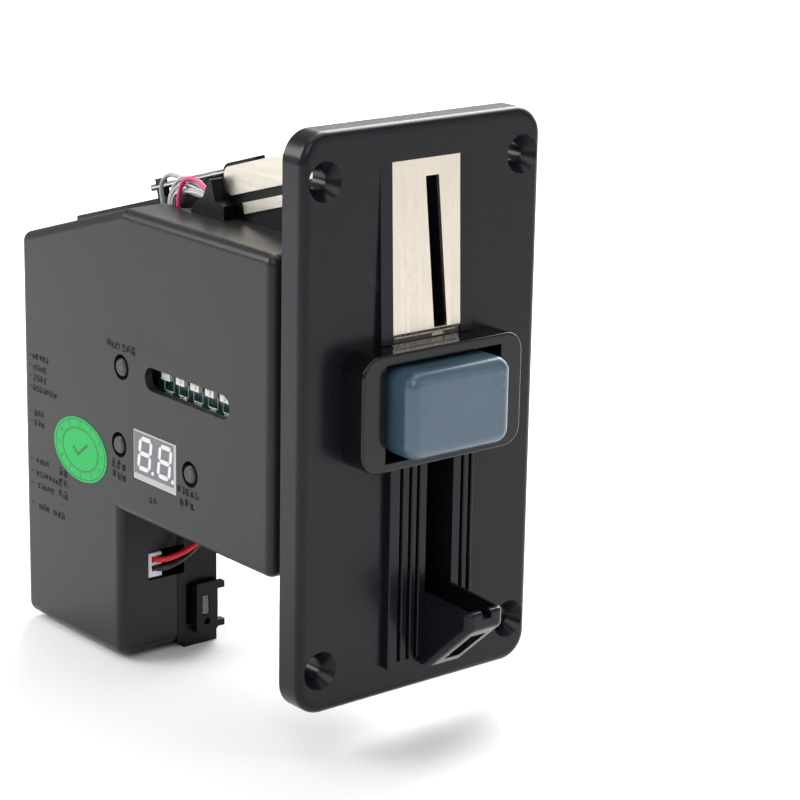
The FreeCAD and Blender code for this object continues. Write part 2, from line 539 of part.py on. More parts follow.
def chassisParts():
    chassis = Piece("chassis")
    ridge = [("0", "ridgeFront"), ("bodyBack", ridgeRear), ("bodyBack", "legFoot-chassisDrop"),
             ("legFront", "legFoot-chassisDrop"), ("legFront", "underside"), ("0", "underside")]
    chassis.add("YZ", "seamX", "wallX", ridge)
    chassis.cut("YZ", "seamX-1", "wallX-wall",
                bodyOutline("coverFront+wall", ("coverTop-wall", "apexY-0.3"),
                            "rearTop-wall-0.5", "underside+wall", "legFront+wall", "legFoot",
                            "bodyBack-wall"))
    chassis.cut("YZ", "seamX+wall", "wallX-wall",
                [("wall", "underside+wall"), ("wall", "ridgeFront-wall-0.8"),
                 ("bodyBack-wall", ridgeRear + "-wall-0.4"), ("bodyBack-wall", "rearTop-wall-4"),
                 ("coverFront+wall+4", "rearTop-wall-4"),
                 ("coverFront+wall+4", "underside+wall")])
    # flange that is screwed to the plate
    chassis.add("XZ", "0", "3", rectangle("-27", "seamX", "-33", "33"))
    chassis.cut("XZ", "-1", "4", *[disc(x, z, "postBore+0.6") for x, z in bodyScrews[:2]])
    # cover screw holes with recesses for their heads
    chassis.cut("YZ", "wallX-wall-0.5", "wallX+1",
                *[disc(y, z, "postBore+0.5") for y, z in coverPosts])
    chassis.cut("YZ", "wallX-headTall", "wallX+1",
                *[disc(y, z, "headWide+0.4") for y, z in coverPosts])
    # bearing of the gate's shaft
    chassis.cut("YZ", "wallX-wall-0.5", "wallX+1",
                disc("gateY", "gateZ", "shaftWide+2*pinFit"))
    # niche, lead hole in the underside, sensor slot in the leg, lead slot beside the ridge
    chassis.cut("XZ", "legFront-1", "legFront+wall+0.5",
                rectangle("seamX-1", "nicheRight", "nicheLow", "nicheHigh"))
    chassis.cut("XY", "underside-1", "underside+wall+0.5", around("-5.6", "59", "2.6", "5.4"))
    chassis.cut("XZ", "legFront-1", "legFront+1.4",
                rectangle("-11.6", "-8.8", "legFoot+4.2", "legFoot+14.4"))

    # the chassis leg stands lower than the cover only past this step
    chassis.cut("YZ", "seamX-1", "stepX", rectangle("legFront-1", "bodyBack+1", "legFoot-chassisDrop-1",
                                                    "legFoot"))

    # coin deck: a leaning plate that the coins roll along, with ears for the hinge pin
    plate = block("deck_plate", ("-deckThick", "0"), ("deckFront", "deckRear"),
                  ("deckFoot", "deckTop"), False)
    parts = [plate]
    for name, start in (("front", "deckFront"), ("rear", "deckRear-earLong")):
        parts.append(block("deck_ear_" + name, ("-deckThick-0.6", "0"),
                           (start, start + "+earLong"), ("deckTop-0.5", "pinZ+1.9"), False))
    for index, along in enumerate(("22", "52", "78")):
        parts.append(rod("deck_boss_%d" % index, "X", "-8", "-deckThick+0.2", along, "6", "6",
                         False))
    body = turned(fuse("deck_body", parts, False), pathFrame)
    bore = turned(rod("deck_bore", "Y", "0", "deckRear+5", "pinP", "pinZ", "pinWide+2*pinFit",
                      False), pathFrame)
    inside = block("deck_side_trim", ("wallX-20", "wallX"), ("-5", "bodyBack"),
                   ("-plateTall", "plateTall"), False)
    ahead = block("deck_front_trim", ("-plateWide", "plateWide"), ("-20", "fitGap"),
                  ("-plateTall", "plateTall"), False)
    carve("coin_deck", body, fuse("deck_tools", [bore, inside, ahead], False))
    pin = turned(rod("pin_bar", "Y", "deckFront-0.6", "pinRear", "pinP", "pinZ", "pinWide", False),
                 pathFrame)
    group("hinge_pin", [pin])
    spring = turned(ring("spring_sleeve", "Y", "knuckleOne+knuckleLong+4", "knuckleTwo-8", "pinP",
                         "pinZ", "pinWide+1", "pinWide+0.4", False), pathFrame)
    group("door_spring", [spring])

    # metal guide plate on the ridge's left side
    guide = Piece("coin_guide_plate", ridgeFrame)
    guide.add("YZ", "seamX-0.9", "seamX-0.1",
              [("0.5", "34.5"), ("guideRear", "34.5"), ("guideRear", "40.9"), ("0.5", "40.9")])
    guide.round("2.2", lambda box, edge: edgeAlong("X")(box, edge)
                and near(box.YMin, number("guideRear")))
    guide.add("YZ", "seamX-0.9", "seamX-0.1",
              rectangle("0.5", "guideRear-5.3", "29.9", "32.4"))
    guide.add("YZ", "seamX-0.4", "seamX-0.1", rectangle("0.5", "6", "32", "35"))

    holder = Piece("lead_holder")
    base = "coverTop+0.1"
    holder.add("YZ", "seamX-4.1", "seamX-0.95",
               [("40.2", base), ("52.8", base), ("51.4", "coverTop+2.2"), ("48.2", "coverTop+4"),
                ("45.9", "coverTop+8.4"), ("45.1", "coverTop+8.4"), ("43.6", "coverTop+3.8"),
                ("40.2", "coverTop+3.2")])
    holder.cut("YZ", "seamX-3.75", "seamX-0.8",
               [("45.6", "coverTop+1"), ("58", "coverTop+1"), ("58", "coverTop+10"),
                ("47", "coverTop+10")])


def returnDoor():
    inner, outer = "slotWide+doorGap", "slotWide+doorGap+doorThick"
    front = "deckFront+0.6"
    parts = [
        block("door_plate", (inner, outer), (front, "doorRear"), ("doorFoot", "doorTop+1.5"),
              False),
        block("door_web", ("fitGap", outer), (front, "doorRear"), ("doorTop", "doorTop+1.5"),
              False),
        block("door_ledge", ("fitGap", inner + "+0.1"), (front, "doorRear"),
              (minus("ledgeTall"), "0"), False),
    ]
    for index, along in enumerate(("30", "42", "54", "66")):
        parts.append(block("door_rib_%d" % index, (outer + "-0.1", outer + "+1.4"),
                           (along, along + "+1.4"), ("0", "34"), False))
    for index, start in enumerate(("knuckleOne", "knuckleTwo")):
        end = start + "+knuckleLong"
        parts.append(rod("knuckle_%d" % index, "Y", start, end, "pinP", "pinZ", "knuckleWide",
                         False))
        parts.append(block("knuckle_arm_%d" % index, ("pinP", "fitGap+0.3"), (start, end),
                           ("doorTop+0.2", "pinZ+knuckleWide/2"), False))
    # cam that the button's rod pushes aside
    cam = doc.addObject("Part::Feature", "door_cam")
    side, reach, start = number(outer), number("camReach"), number("knuckleOne") + 6
    thick, run = number("doorThick"), number("camRun")
    low, high = number("doorFoot-7.6"), number("doorFoot+0.2")
    corners = [(side - thick, start + thick / run), (side + reach, start - reach / run),
               (side + reach, start + 4), (side - thick, start + 4)]
    wire = Part.makePolygon([FreeCAD.Vector(x, y, low) for x, y in corners + corners[:1]])
    cam.Shape = Part.Face(wire).extrude(FreeCAD.Vector(0, 0, high - low))
    parts.append(cam)
    body = turned(fuse("door_body", parts, False), pathFrame)
    bore = turned(rod("door_bore", "Y", "0", "doorRear+5", "pinP", "pinZ", "pinWide+2*pinFit",
                      False), pathFrame)
    carve("return_door", body, bore)


# ---- chutes ----

chuteLeft, chuteRight = "channelX-channelWide/2", "channelX+channelWide/2+0.1"


def chutes():
    chute = Piece("return_chute")
    left, right = chuteLeft + "-chuteWall", chuteRight + "+chuteWall"
    floor = "channelFoot"
    chute.add("YZ", left, right,
              [("0", floor + "-2.4"), ("chuteRear", floor + "-2.4+chuteRise"),
               ("chuteRear", "-12.6"), ("22", "0"), ("16", "-9"), ("0", "-9")])
    chute.cut("YZ", chuteLeft, chuteRight,
              [("-1", floor), ("0", floor), ("chuteRear+1", floor + "+chuteRise+0.3"),
               ("chuteRear+1", "10"), ("-1", "10")])
    chute.add("XZ", "0", "2.5", rectangle(right + "-0.2", "17", "-53", "-16"))
    chute.cut("XZ", "-1", "3.5", *[disc(x, z, "postBore+0.6") for x, z in bodyScrews[2:]])
    chute.add("YZ", "wallX", left + "+0.2", disc("24", "-26", "6"), disc("56", "-28", "6"))

    accept = Piece("accept_chute")
    start = "chuteRear+0.3"
    accept.add("YZ", chuteRight, right,
               [(start, "acceptFoot"), ("bodyBack-wall", "acceptFoot"),
                ("bodyBack-wall", "acceptTop"), ("80", "acceptTop"), ("72.5", "gateZ+2"),
                (start, "gateZ+2")])
    accept.add("XZ", start, start + "+chuteWall",
               rectangle("wallX", chuteRight + "+0.2", "acceptFoot", "gateZ-4"))
    accept.add("XZ", "bodyBack-wall-chuteWall", "bodyBack-wall",
               rectangle("wallX", chuteRight + "+0.2", "acceptFoot", "acceptTop"))


# ---- gate, solenoid and their linkage ----

def gateParts():
    pivot = FreeCAD.Vector(0, number("gateY"), number("gateZ"))
    tilted = FreeCAD.Placement(pivot, FreeCAD.Rotation(FreeCAD.Vector(1, 0, 0),
                                                       number("gateTilt")))
    flap = turned(block("gate_flap", ("gateLeft", "gateRight"), ("0", "gateLong"),
                        ("-gateThick/2", "gateThick/2"), False), tilted)
    hub = rod("gate_hub", "X", "gateLeft", "gateRight", "gateY", "gateZ", "hubWide", False)
    shaft = rod("gate_shaft", "X", "crankX-crankThick", "gateRight+0.3", "gateY", "gateZ",
                "shaftWide", False)
    leaned = FreeCAD.Placement(pivot, FreeCAD.Rotation(FreeCAD.Vector(1, 0, 0),
                                                       -number("crankTilt")))
    arm = turned(block("gate_arm", ("crankX-crankThick", "crankX"),
                       ("-1.6", "1.6"), ("-2", "crankLong+1.4"), False), leaned)
    stud = turned(rod("gate_stud", "X", "coilX-2", "crankX-0.1", "0", "crankLong", "crankPin",
                      False), leaned)
    fuse("accept_gate", [flap, hub, shaft, arm, stud])

    coilZ = "gateZ+crankLong*cos(crankTilt)"
    studY = "gateY+crankLong*sin(crankTilt)"
    front, rear = "solenoidFront", "solenoidFront+solenoidLong"
    half = "solenoidTall/2"
    outer = block("yoke_outer", ("coilX-%s" % half, "wallX-wall"), (front, rear),
                  (coilZ + "-" + half, coilZ + "+" + half), False)
    inner = block("yoke_inner", ("coilX-%s-1" % half, "wallX-wall+1"),
                  (front + "+solenoidWall", rear + "-solenoidWall"),
                  (coilZ + "-%s+solenoidWall" % half, coilZ + "+%s-solenoidWall" % half), False)
    bore = rod("yoke_bore", "Y", front + "+3", rear + "+1", "coilX", coilZ,
               "plungerWide+2*plungerFit+0.4", False)
    carve("solenoid_frame", outer, fuse("yoke_tools", [inner, bore], False))
    ring("solenoid_coil", "Y", front + "+solenoidWall", rear + "-solenoidWall", "coilX", coilZ,
         "coilWide", "plungerWide+2*plungerFit")
    shank = rod("plunger_shank", "Y", rear + "-14", studY + "-2.4", "coilX", coilZ, "plungerWide",
                False)
    fork = block("plunger_fork", ("coilX-2.2", "coilX+1.6"), (studY + "-3", studY + "+2.8"),
                 (coilZ + "-3", coilZ + "+3"), False)
    slot = block("plunger_slot", ("coilX-3", "coilX+3"),
                 (studY + "-crankPin/2-forkGap", studY + "+crankPin/2+forkGap"),
                 (coilZ + "-2.2", coilZ + "+4"), False)
    carve("solenoid_plunger", fuse("plunger_body", [shank, fork], False), slot)
    ring("plunger_spring", "Y", rear + "+0.05", studY + "-3.05", "coilX", coilZ,
         "plungerWide+2.6", "plungerWide+0.6")


# ---- sensors and electronics ----

def electronics():
    board = Piece("main_board")
    board.add("YZ", "boardX", boardBack,
              [("boardFront", "boardLow"), ("boardLegY", "boardLow"), ("boardLegY", "boardLegZ"),
               (boardRear, "boardLegZ"), (boardRear, "boardTop"), ("boardFront", "boardTop")])
    board.cut("YZ", "boardX-1", boardBack + "+1",
              *[disc(y, z, "postBore+0.4") for y, z in boardPosts])

    def screws(name, places, axis, low, high, side):
        """pan-head screws: the head stands on the level 'high', on the given side"""
        parts = []
        for index, (across, up) in enumerate(places):
            tag = "%s_%d" % (name, index)
            head = (high, high + "+headTall") if side > 0 else (low + "-headTall", low)
            shank = rod(tag + "_shank", axis, low, high, across, up, "postBore-0.1", False)
            cap = rod(tag + "_head", axis, head[0], head[1], across, up, "headWide", False)
            parts.append(fuse(tag, [shank, cap], False))
        group(name, parts)

    screws("board_screws", boardPosts, "X", "coverX+wall+0.2", boardBack, 1)
    screws("cover_screws", coverPosts, "X", "coverX+wall+4", "wallX-headTall", 1)
    screws("body_screws", bodyScrews[:2], "Y", "-4", "3", 1)
    screws("chute_screws", bodyScrews[2:], "Y", "-4", "2.5", 1)

    front = "boardX"
    block("display_module", ("coverX+0.1", front),
          ("displayY-displayLong/2", "displayY+displayLong/2"),
          ("displayZ-displayTall/2", "displayZ+displayTall/2"))
    lights = []
    for index in range(5):
        middle = "windowY+ledShift+%d*ledPitch" % (index - 2)
        lights.append(block("led_%d" % index, (front + "-1.1", front),
                            (middle + "-ledLong/2", middle + "+ledLong/2"),
                            ("windowZ+ledRise-ledTall/2", "windowZ+ledRise+ledTall/2"), False))
    group("status_leds", lights)

    keys = [("mode_key", "modeKeyY", "modeKeyZ"), ("add_key", "addKeyY", "lowKeyZ"),
            ("minus_key", "minusKeyY", "lowKeyZ")]
    bases = []
    for name, y, z in keys:
        body = block(name + "_body", ("coverX+wall+0.2", front),
                     (y + "-keyBase/2", y + "+keyBase/2"), (z + "-keyBase/2", z + "+keyBase/2"),
                     False)
        bore = rod(name + "_bore", "X", "coverX", "coverX+wall+1.6", y, z, "keyStem+0.3", False)
        bases.append(carve(name + "_base", body, bore, False))
        stem = rod(name + "_stem", "X", "coverX-keyReach", "coverX+wall+1.1", y, z, "keyStem",
                   False)
        chamfer = doc.addObject("Part::Chamfer", name)
        chamfer.Label = name
        doc.recompute()
        rim = [index + 1 for index, edge in enumerate(stem.Shape.Edges)
               if near(edge.BoundBox.XMax, number("coverX-keyReach"))]
        chamfer.Base = stem
        chamfer.Edges = [(index, 0.35, 0.35) for index in rim]
        nodes.append(chamfer)
    group("key_bases", bases)

    chips = [block("chip_0", (boardBack, boardBack + "+1.5"), ("40", "50"), ("-22", "-12"), False),
             block("chip_1", (boardBack, boardBack + "+1.5"), ("56", "64"), ("-30", "-24"), False),
             block("chip_2", (boardBack, boardBack + "+1.5"), ("26", "34"), ("2", "7"), False)]
    group("board_chips", chips)
    group("board_capacitors",
          [rod("capacitor_%d" % index, "X", boardBack, boardBack + "+7", y, "-27", "5", False)
           for index, y in enumerate(("30", "37", "44"))])
    header = block("header_body", (boardBack, boardBack + "+6"), ("54", "68"), ("5", "9"), False)
    mouth = block("header_mouth", (boardBack + "+1", boardBack + "+5.2"), ("55", "67"),
                  ("6", "10"), False)
    carve("sensor_header", header, mouth)

    # pot cores and windings of the three coin sensors, behind the deck
    cores, windings = [], []
    base = "wallX-wall"
    for index in range(3):
        along = number("sensorStart") + index * number("sensorPitch")
        point = ridgeFrame.multVec(FreeCAD.Vector(0, along, number("sensorZ")))
        y, z = "%.3f" % point.y, "%.3f" % point.z
        cup = rod("core_cup_%d" % index, "X", base + "-coreDeep", base, y, z, "coreWide", False)
        gap = ring("core_gap_%d" % index, "X", base + "-coreDeep+1.2", base + "+1", y, z,
                   "coreWide-2.4", "5", False)
        cores.append(carve("core_%d" % index, cup, gap, False))
        windings.append(ring("winding_%d" % index, "X", base + "-coreDeep+1.4", base + "-0.2", y,
                             z, "coreWide-3", "5.6", False))
    group("sensor_cores", cores)
    group("sensor_windings", windings)


def rearControls():
    face = "bodyBack"
    low, high = "socketZ-socketTall/2", "socketZ+socketTall/2"
    left, right = "socketX-socketWide/2", "socketX+socketWide/2"
    shell = block("socket_shell", (left, right), (face + "-11", face + "-0.1"), (low, high), False)
    mouth = block("socket_mouth", (left + "+0.9", right + "-0.9"), (face + "-8", face + "+1"),
                  (low + "+0.9", high + "-0.9"), False)
    carve("power_socket", shell, mouth)
    group("power_pins",
          [block("power_pin_%d" % index, ("socketX-0.32", "socketX+0.32"),
                 (face + "-8", face + "-1.6"),
                 ("socketZ+%.1f*pinPitch-0.32" % (index - 1.5),
                  "socketZ+%.1f*pinPitch+0.32" % (index - 1.5)), False)
           for index in range(4)])
    inside = face + "-wall-0.1"
    for name, z, spare in (("contact", "contactZ+knobTravel/2", "knobTravel/2"),
                           ("speed", "speedZ", "knobTravel")):
        body = block(name + "_case", ("socketX-2.9", "socketX+2.6"), (inside + "-5", inside),
                     (z + "-4.6", z + "+4.6"), False)
        groove = block(name + "_groove", ("socketX-1.2", "socketX+1.2"),
                       (inside + "-2.6", inside + "+1"),
                       (z + "-knobTall/2-%s-0.3" % spare, z + "+knobTall/2+%s+0.3" % spare),
                       False)
        carve(name + "_switch", body, groove)
        rest = "contactZ" if name == "contact" else "speedZ"
        block(name + "_knob", ("socketX-0.8", "socketX+0.8"), (inside + "-2.2", face + "+1.2"),
              (rest + "-knobTall/2", rest + "+knobTall/2"))
    base = block("set_case", ("socketX-2.9", "socketX+keyBase/2-0.1"), (inside + "-4", inside),
                 ("setZ-3", "setZ+3"), False)
    bore = rod("set_bore", "Y", inside + "-1.6", inside + "+1", "socketX", "setZ",
               "keyStem+0.3", False)
    carve("set_key_base", base, bore)
    rod("set_key", "Y", inside + "-1.1", face + "+keyReach", "socketX", "setZ", "keyStem")


def legParts():
    face = "legFront"
    body = block("lamp_case", ("lampX-1.9", "lampX+1.9"), (face + "+0.4", face + "+8"),
                 ("lampZ-3.2", "lampZ+2.7"), False)
    slots = [block("lamp_slot_%d" % index, ("lampX-0.9", "lampX+2.4"),
                   (face, face + "+4"), (z + "-0.75", z + "+0.75"), False)
             for index, z in enumerate(("lampZ+1.1", "lampZ-1.1"))]
    carve("lamp_socket", body, fuse("lamp_slots", slots, False))

    plate = block("eye_plate", ("-9.7", "wallX-1"), (face + "-1.9", face),
                  ("legFoot+2.2", "legFoot+14.4"), False)
    prongs = [block("eye_prong_%d" % index, ("-5", "wallX+1"), (face + "-1.9", face + "-0.1"),
                    (low, low + "+1.6"), False)
              for index, low in enumerate(("legFoot+12.2", "legFoot+2.6"))]
    window = block("eye_window", ("-8", "-6.1"), (face + "-3", face + "-1"),
                   ("legFoot+6.2", "legFoot+11.2"), False)
    hole = rod("eye_hole", "Y", face + "-3", face + "-0.8", "-6.7", "legFoot+4.6", "1.8", False)
    carve("exit_sensor", fuse("eye_body", [plate] + prongs, False),
          fuse("eye_tools", [window, hole], False))
    block("sensor_lens", ("-7.9", "-6.2"), (face + "-1.7", face + "-1"),
          ("legFoot+6.4", "legFoot+11"))


def sticker():
    label = doc.addObject("Part::Feature", "inspection_sticker")
    label.Label = "inspection_sticker"
    long, tall = number("stickerLong") / 2, number("stickerTall") / 2
    ellipse = Part.Ellipse(FreeCAD.Vector(0, 0, 0), long, tall)
    face = Part.Face(Part.Wire([ellipse.toShape()]))
    label.Shape = face.extrude(FreeCAD.Vector(0, 0, 0.12))
    place = FreeCAD.Vector(number("coverX"), number("stickerY"), number("stickerZ"))
    turn = FreeCAD.Rotation(FreeCAD.Vector(0, 1, 0), FreeCAD.Vector(0, 0, 1),
                            FreeCAD.Vector(-1, 0, 0), "ZYX")
    label.Placement = FreeCAD.Placement(place, turn)
    nodes.append(label)


# ---- leads: straight runs joined by tangent arcs ----

def lead(name, points, wide):
    points = [FreeCAD.Vector(*point) for point in points]
    edges, start, radii = [], points[0], []
    for before, corner, after in zip(points, points[1:], points[2:]):
        first, second = (corner - before), (after - corner)
        turn = first.getAngle(second)
        radius = 0.45 * min(first.Length, second.Length) / math.tan(turn / 2)
        reach = radius * math.tan(turn / 2)
        enter = corner - first.normalize() * reach
        leave = corner + second.normalize() * reach
        centreWay = (second - first).normalize()
        centre = corner + centreWay * (radius / math.cos(turn / 2))
        middle = centre - centreWay * radius
        edges.append(Part.LineSegment(start, enter).toShape())
        edges.append(Part.Arc(enter, middle, leave).toShape())
        radii.append(round(radius, 2))
        start = leave
    edges.append(Part.LineSegment(start, points[-1]).toShape())
    path = Part.Wire(edges)
    tangent = points[1] - points[0]
    section = Part.Wire([Part.Circle(points[0], tangent, wide / 2).toShape()])
    tube = path.makePipeShell([section], True, True)
    share = tube.Volume / (math.pi * wide * wide / 4 * path.Length)
    print(name, "length", round(path.Length, 1), "radii", radii, "volume share", round(share, 4))
    piece = doc.addObject("Part::Feature", name)
    piece.Label = name
    piece.Shape = tube
    nodes.append(piece)


def leads():
    top = number("coverTop")
    # each sensor lead keeps to its own lane until they are far enough apart to turn inwards
    grey, white, pink = (number("seamX") - 0.95 - lane * 1.1 for lane in range(3))
    x, z = number("boardX") + number("boardThick") + 3.1, 6.4
    wide = number("leadWide")
    lead("lead_pink", [(pink, 46.4, top + 4.4), (pink, 51.4, top + 7.4), (pink, 57.2, top + 6.6),
                       (pink, 59.2, top + 1), (pink, 58.4, top - 8), (x, 57.4, top - 18),
                       (x, 57.2, z)], wide)
    lead("lead_white", [(white, 46.4, top + 3.2), (white, 55.4, top + 4.8), (white, 62.8, top + 2.8),
                        (white, 63.6, top - 3.5), (white, 61.8, top - 12), (x, 60.5, top - 20),
                        (x, 60.4, z)], wide)
    lead("lead_grey", [(grey, 46.4, top + 1.9), (grey, 57.2, top + 5.8), (grey, 66, top + 5.9),
                       (grey, 69.2, top + 3), (grey, 68, top - 2.6), (grey, 65.6, top - 12),
                       (x, 64.4, top - 20), (x, 64.2, z)], wide)
    # lamp leads: out of the socket in the leg and up through the underside
    x, z = number("lampX"), number("lampZ")
    face, under = number("legFront"), number("underside")
    for name, drop, ahead in (("lead_red", 0, 0), ("lead_black", 2.2, 1)):
        lead(name, [(x, face + 3.6, z + 1.1 - drop), (x + 0.4, face - 1.6, z + 1.1 - drop),
                    (x + 5.4, face - 4 + ahead, z + 3 - drop),
                    (x + 10.6, face - 5.4 + 2.2 * ahead, z + 6.4 - drop),
                    (-5.6, face - 6.9 + 2.8 * ahead, under - 5),
                    (-5.6, face - 6.9 + 2.8 * ahead, under + 6)], number("lampWide"))


frontPlate()
slotBezel()
buttonParts()
returnCup()
sideCover()
chassisParts()
returnDoor()
chutes()
gateParts()
electronics()
rearControls()
legParts()
sticker()
leads()
doc.recompute()

for item in doc.Objects:
    if "Invalid" in item.State or "Error" in item.State:
        raise ValueError("%s did not compute" % item.Label)
os.makedirs("parts", exist_ok=True)
for node in nodes:
    if node.Shape.isNull() or not node.Shape.isValid():
        raise ValueError("%s has no valid shape" % node.Label)
for node in nodes:
    node.Shape.exportStep("parts/%s.step" % node.Label)
    box = node.Shape.BoundBox
    print("%-20s %2d solids  %9.1f mm3  X %.1f..%.1f Y %.1f..%.1f Z %.1f..%.1f" % (
        node.Label, len(node.Shape.Solids), node.Shape.Volume, box.XMin, box.XMax, box.YMin,
        box.YMax, box.ZMin, box.ZMax))
print(len(nodes), "nodes")
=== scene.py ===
import bpy
import bmesh
import json
import math
import random
from mathutils import Matrix, Vector


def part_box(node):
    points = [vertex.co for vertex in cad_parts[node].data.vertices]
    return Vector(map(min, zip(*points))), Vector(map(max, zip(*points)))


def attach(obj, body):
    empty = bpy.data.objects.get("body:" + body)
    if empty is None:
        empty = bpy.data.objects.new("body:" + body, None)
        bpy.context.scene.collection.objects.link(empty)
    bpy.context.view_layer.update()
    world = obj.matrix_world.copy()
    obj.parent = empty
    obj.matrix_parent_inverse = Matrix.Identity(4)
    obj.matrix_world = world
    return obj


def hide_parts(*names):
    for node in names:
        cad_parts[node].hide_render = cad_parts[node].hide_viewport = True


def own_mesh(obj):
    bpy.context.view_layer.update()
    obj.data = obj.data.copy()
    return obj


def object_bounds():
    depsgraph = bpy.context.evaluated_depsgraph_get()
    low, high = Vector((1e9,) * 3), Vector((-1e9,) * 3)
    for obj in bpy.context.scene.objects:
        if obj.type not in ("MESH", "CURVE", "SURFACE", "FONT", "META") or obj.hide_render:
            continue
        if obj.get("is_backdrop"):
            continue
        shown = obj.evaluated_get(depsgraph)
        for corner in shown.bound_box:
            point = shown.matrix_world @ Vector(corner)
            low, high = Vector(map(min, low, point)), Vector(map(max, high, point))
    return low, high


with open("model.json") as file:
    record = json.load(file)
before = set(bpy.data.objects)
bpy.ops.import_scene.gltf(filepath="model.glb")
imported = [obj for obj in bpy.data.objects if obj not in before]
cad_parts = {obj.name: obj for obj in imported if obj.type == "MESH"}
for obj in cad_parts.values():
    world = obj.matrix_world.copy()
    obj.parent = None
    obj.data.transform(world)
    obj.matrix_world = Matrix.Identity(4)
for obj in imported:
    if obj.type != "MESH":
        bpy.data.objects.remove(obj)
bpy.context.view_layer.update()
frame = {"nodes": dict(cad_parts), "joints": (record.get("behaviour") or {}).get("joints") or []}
nodes = frame["nodes"]
mm = 0.001
print("frame loaded:", len(nodes), "nodes")


# nodes written as plain expressions
class Socket:
    def __init__(self, maker, output):
        self.maker, self.output = maker, output

    def __add__(self, other):
        return self.maker.math("ADD", self, other)

    def __sub__(self, other):
        return self.maker.math("SUBTRACT", self, other)

    def __rsub__(self, other):
        return self.maker.math("SUBTRACT", other, self)

    def __mul__(self, other):
        return self.maker.math("MULTIPLY", self, other)

    __radd__ = __add__
    __rmul__ = __mul__


class Maker:
    def __init__(self, tree):
        self.tree = tree

    def node(self, kind, settings=None, sockets=None, output=0):
        made = self.tree.nodes.new(kind)
        for name, setting in (settings or {}).items():
            if name == "stops":
                for index, (place, colour) in enumerate(setting):
                    ramp = made.color_ramp.elements
                    stop = ramp[index] if index < 2 else ramp.new(place)
                    stop.position, stop.color = place, colour
            else:
                setattr(made, name, setting)
        for name, value in (sockets or {}).items():
            self.feed(made.inputs[name], value)
        return Socket(self, made.outputs[output])

    def feed(self, target, value):
        if isinstance(value, (list, tuple)) and value and isinstance(value[0], Socket):
            for item in value:
                self.tree.links.new(item.output, target)
        elif isinstance(value, Socket):
            self.tree.links.new(value.output, target)
        else:
            target.default_value = value

    def math(self, operation, first, second=0.0):
        return self.node("ShaderNodeMath", {"operation": operation}, {0: first, 1: second})


class Finish(Maker):
    def __init__(self, name, colour, roughness, metallic=0.0, **fixed):
        self.material = bpy.data.materials.new(name)
        self.material.use_nodes = True
        super().__init__(self.material.node_tree)
        self.shader = self.tree.nodes["Principled BSDF"]
        self.place = self.node("ShaderNodeTexCoord", output="Object")
        base = tuple(colour) + (1.0,)
        self.material.diffuse_color = base
        self.set("Base Color", base)
        self.set("Roughness", roughness)
        self.set("Metallic", metallic)
        for socket, value in fixed.items():
            self.set(socket.replace("_", " "), value)

    def set(self, socket, value):
        self.feed(self.shader.inputs[socket], value)

    def stretched(self, scale, turn=(0, 0, 0)):
        return self.node("ShaderNodeMapping", {}, {"Vector": self.place, "Scale": scale,
                                                   "Rotation": turn})

    def noise(self, size, detail=3.0, where=None):
        # size 0 leaves the scale to the mapping in where
        return self.node("ShaderNodeTexNoise", {}, {
            "Vector": where or self.place, "Scale": 1 / size if size else 1.0, "Detail": detail})

    def cells(self, size):
        return self.node("ShaderNodeTexVoronoi", {}, {
            "Vector": self.place, "Scale": 1 / size}, "Distance")

    def span(self, value, low, high, toLow=0.0, toHigh=1.0):
        return self.node("ShaderNodeMapRange", {}, {
            "Value": value, "From Min": low, "From Max": high, "To Min": toLow,
            "To Max": toHigh})

    def mix(self, share, first, second):
        return self.node("ShaderNodeMix", {"data_type": "RGBA"},
                         {0: share, 6: first, 7: second}, 2)

    def axis(self, name):
        return self.node("ShaderNodeSeparateXYZ", {}, {0: self.place}, name)

    def bump(self, height, distance):
        self.set("Normal", self.node("ShaderNodeBump", {}, {
            "Height": height, "Distance": distance, "Strength": 1.0}))


def shade(colour, factor):
    return tuple(min(1.0, part * factor) for part in colour[:3]) + (1.0,)


mouldedLook = {"flowSize": 22 * mm, "flowTones": (0.82, 1.22), "dustSize": 0.9 * mm,
               "dustTone": (0.16, 0.155, 0.15, 1), "scuffLay": (90, 2600, 150),
               "scuffTurn": (0.5, 0.3, 0.9), "scuffPatch": 16 * mm,
               "scuffTone": (0.26, 0.26, 0.27, 1)}


def moulded(name, colour, gloss, grainSize, grainDepth, scuffs=0.5, **fixed):
    # moulded plastic: tool grain, slow flow marks, dust and a few long scuffs
    finish, look = Finish(name, colour, gloss, **fixed), mouldedLook
    flow = finish.noise(look["flowSize"], 4.0)
    grain = finish.noise(grainSize, 2.0)
    dust = finish.span(finish.noise(look["dustSize"], 4.0), 0.66, 0.78)
    lines = finish.noise(0, 2.0, finish.stretched(look["scuffLay"], look["scuffTurn"]))
    patches = finish.span(finish.noise(look["scuffPatch"]), 0.5, 0.62)
    scuff = finish.span(lines, 0.69, 0.76) * patches
    dark, pale = look["flowTones"]
    tone = finish.mix(flow, shade(colour, dark), shade(colour, pale))
    tone = finish.mix(dust * (0.05 + 0.04 * scuffs), tone, look["dustTone"])
    finish.set("Base Color", finish.mix(scuff * (0.08 * scuffs), tone, look["scuffTone"]))
    finish.set("Roughness", finish.span(flow, 0.3, 0.7, gloss - 0.04, gloss + 0.05)
               + dust * 0.12 + scuff * (0.15 * scuffs))
    finish.bump(grain + scuff * (-0.25 * scuffs), grainDepth)
    return finish.material


brushedLook = {"coarseShare": 0.22, "cloudSize": 9 * mm, "markSize": 1.4 * mm,
               "depth": 0.004 * mm}


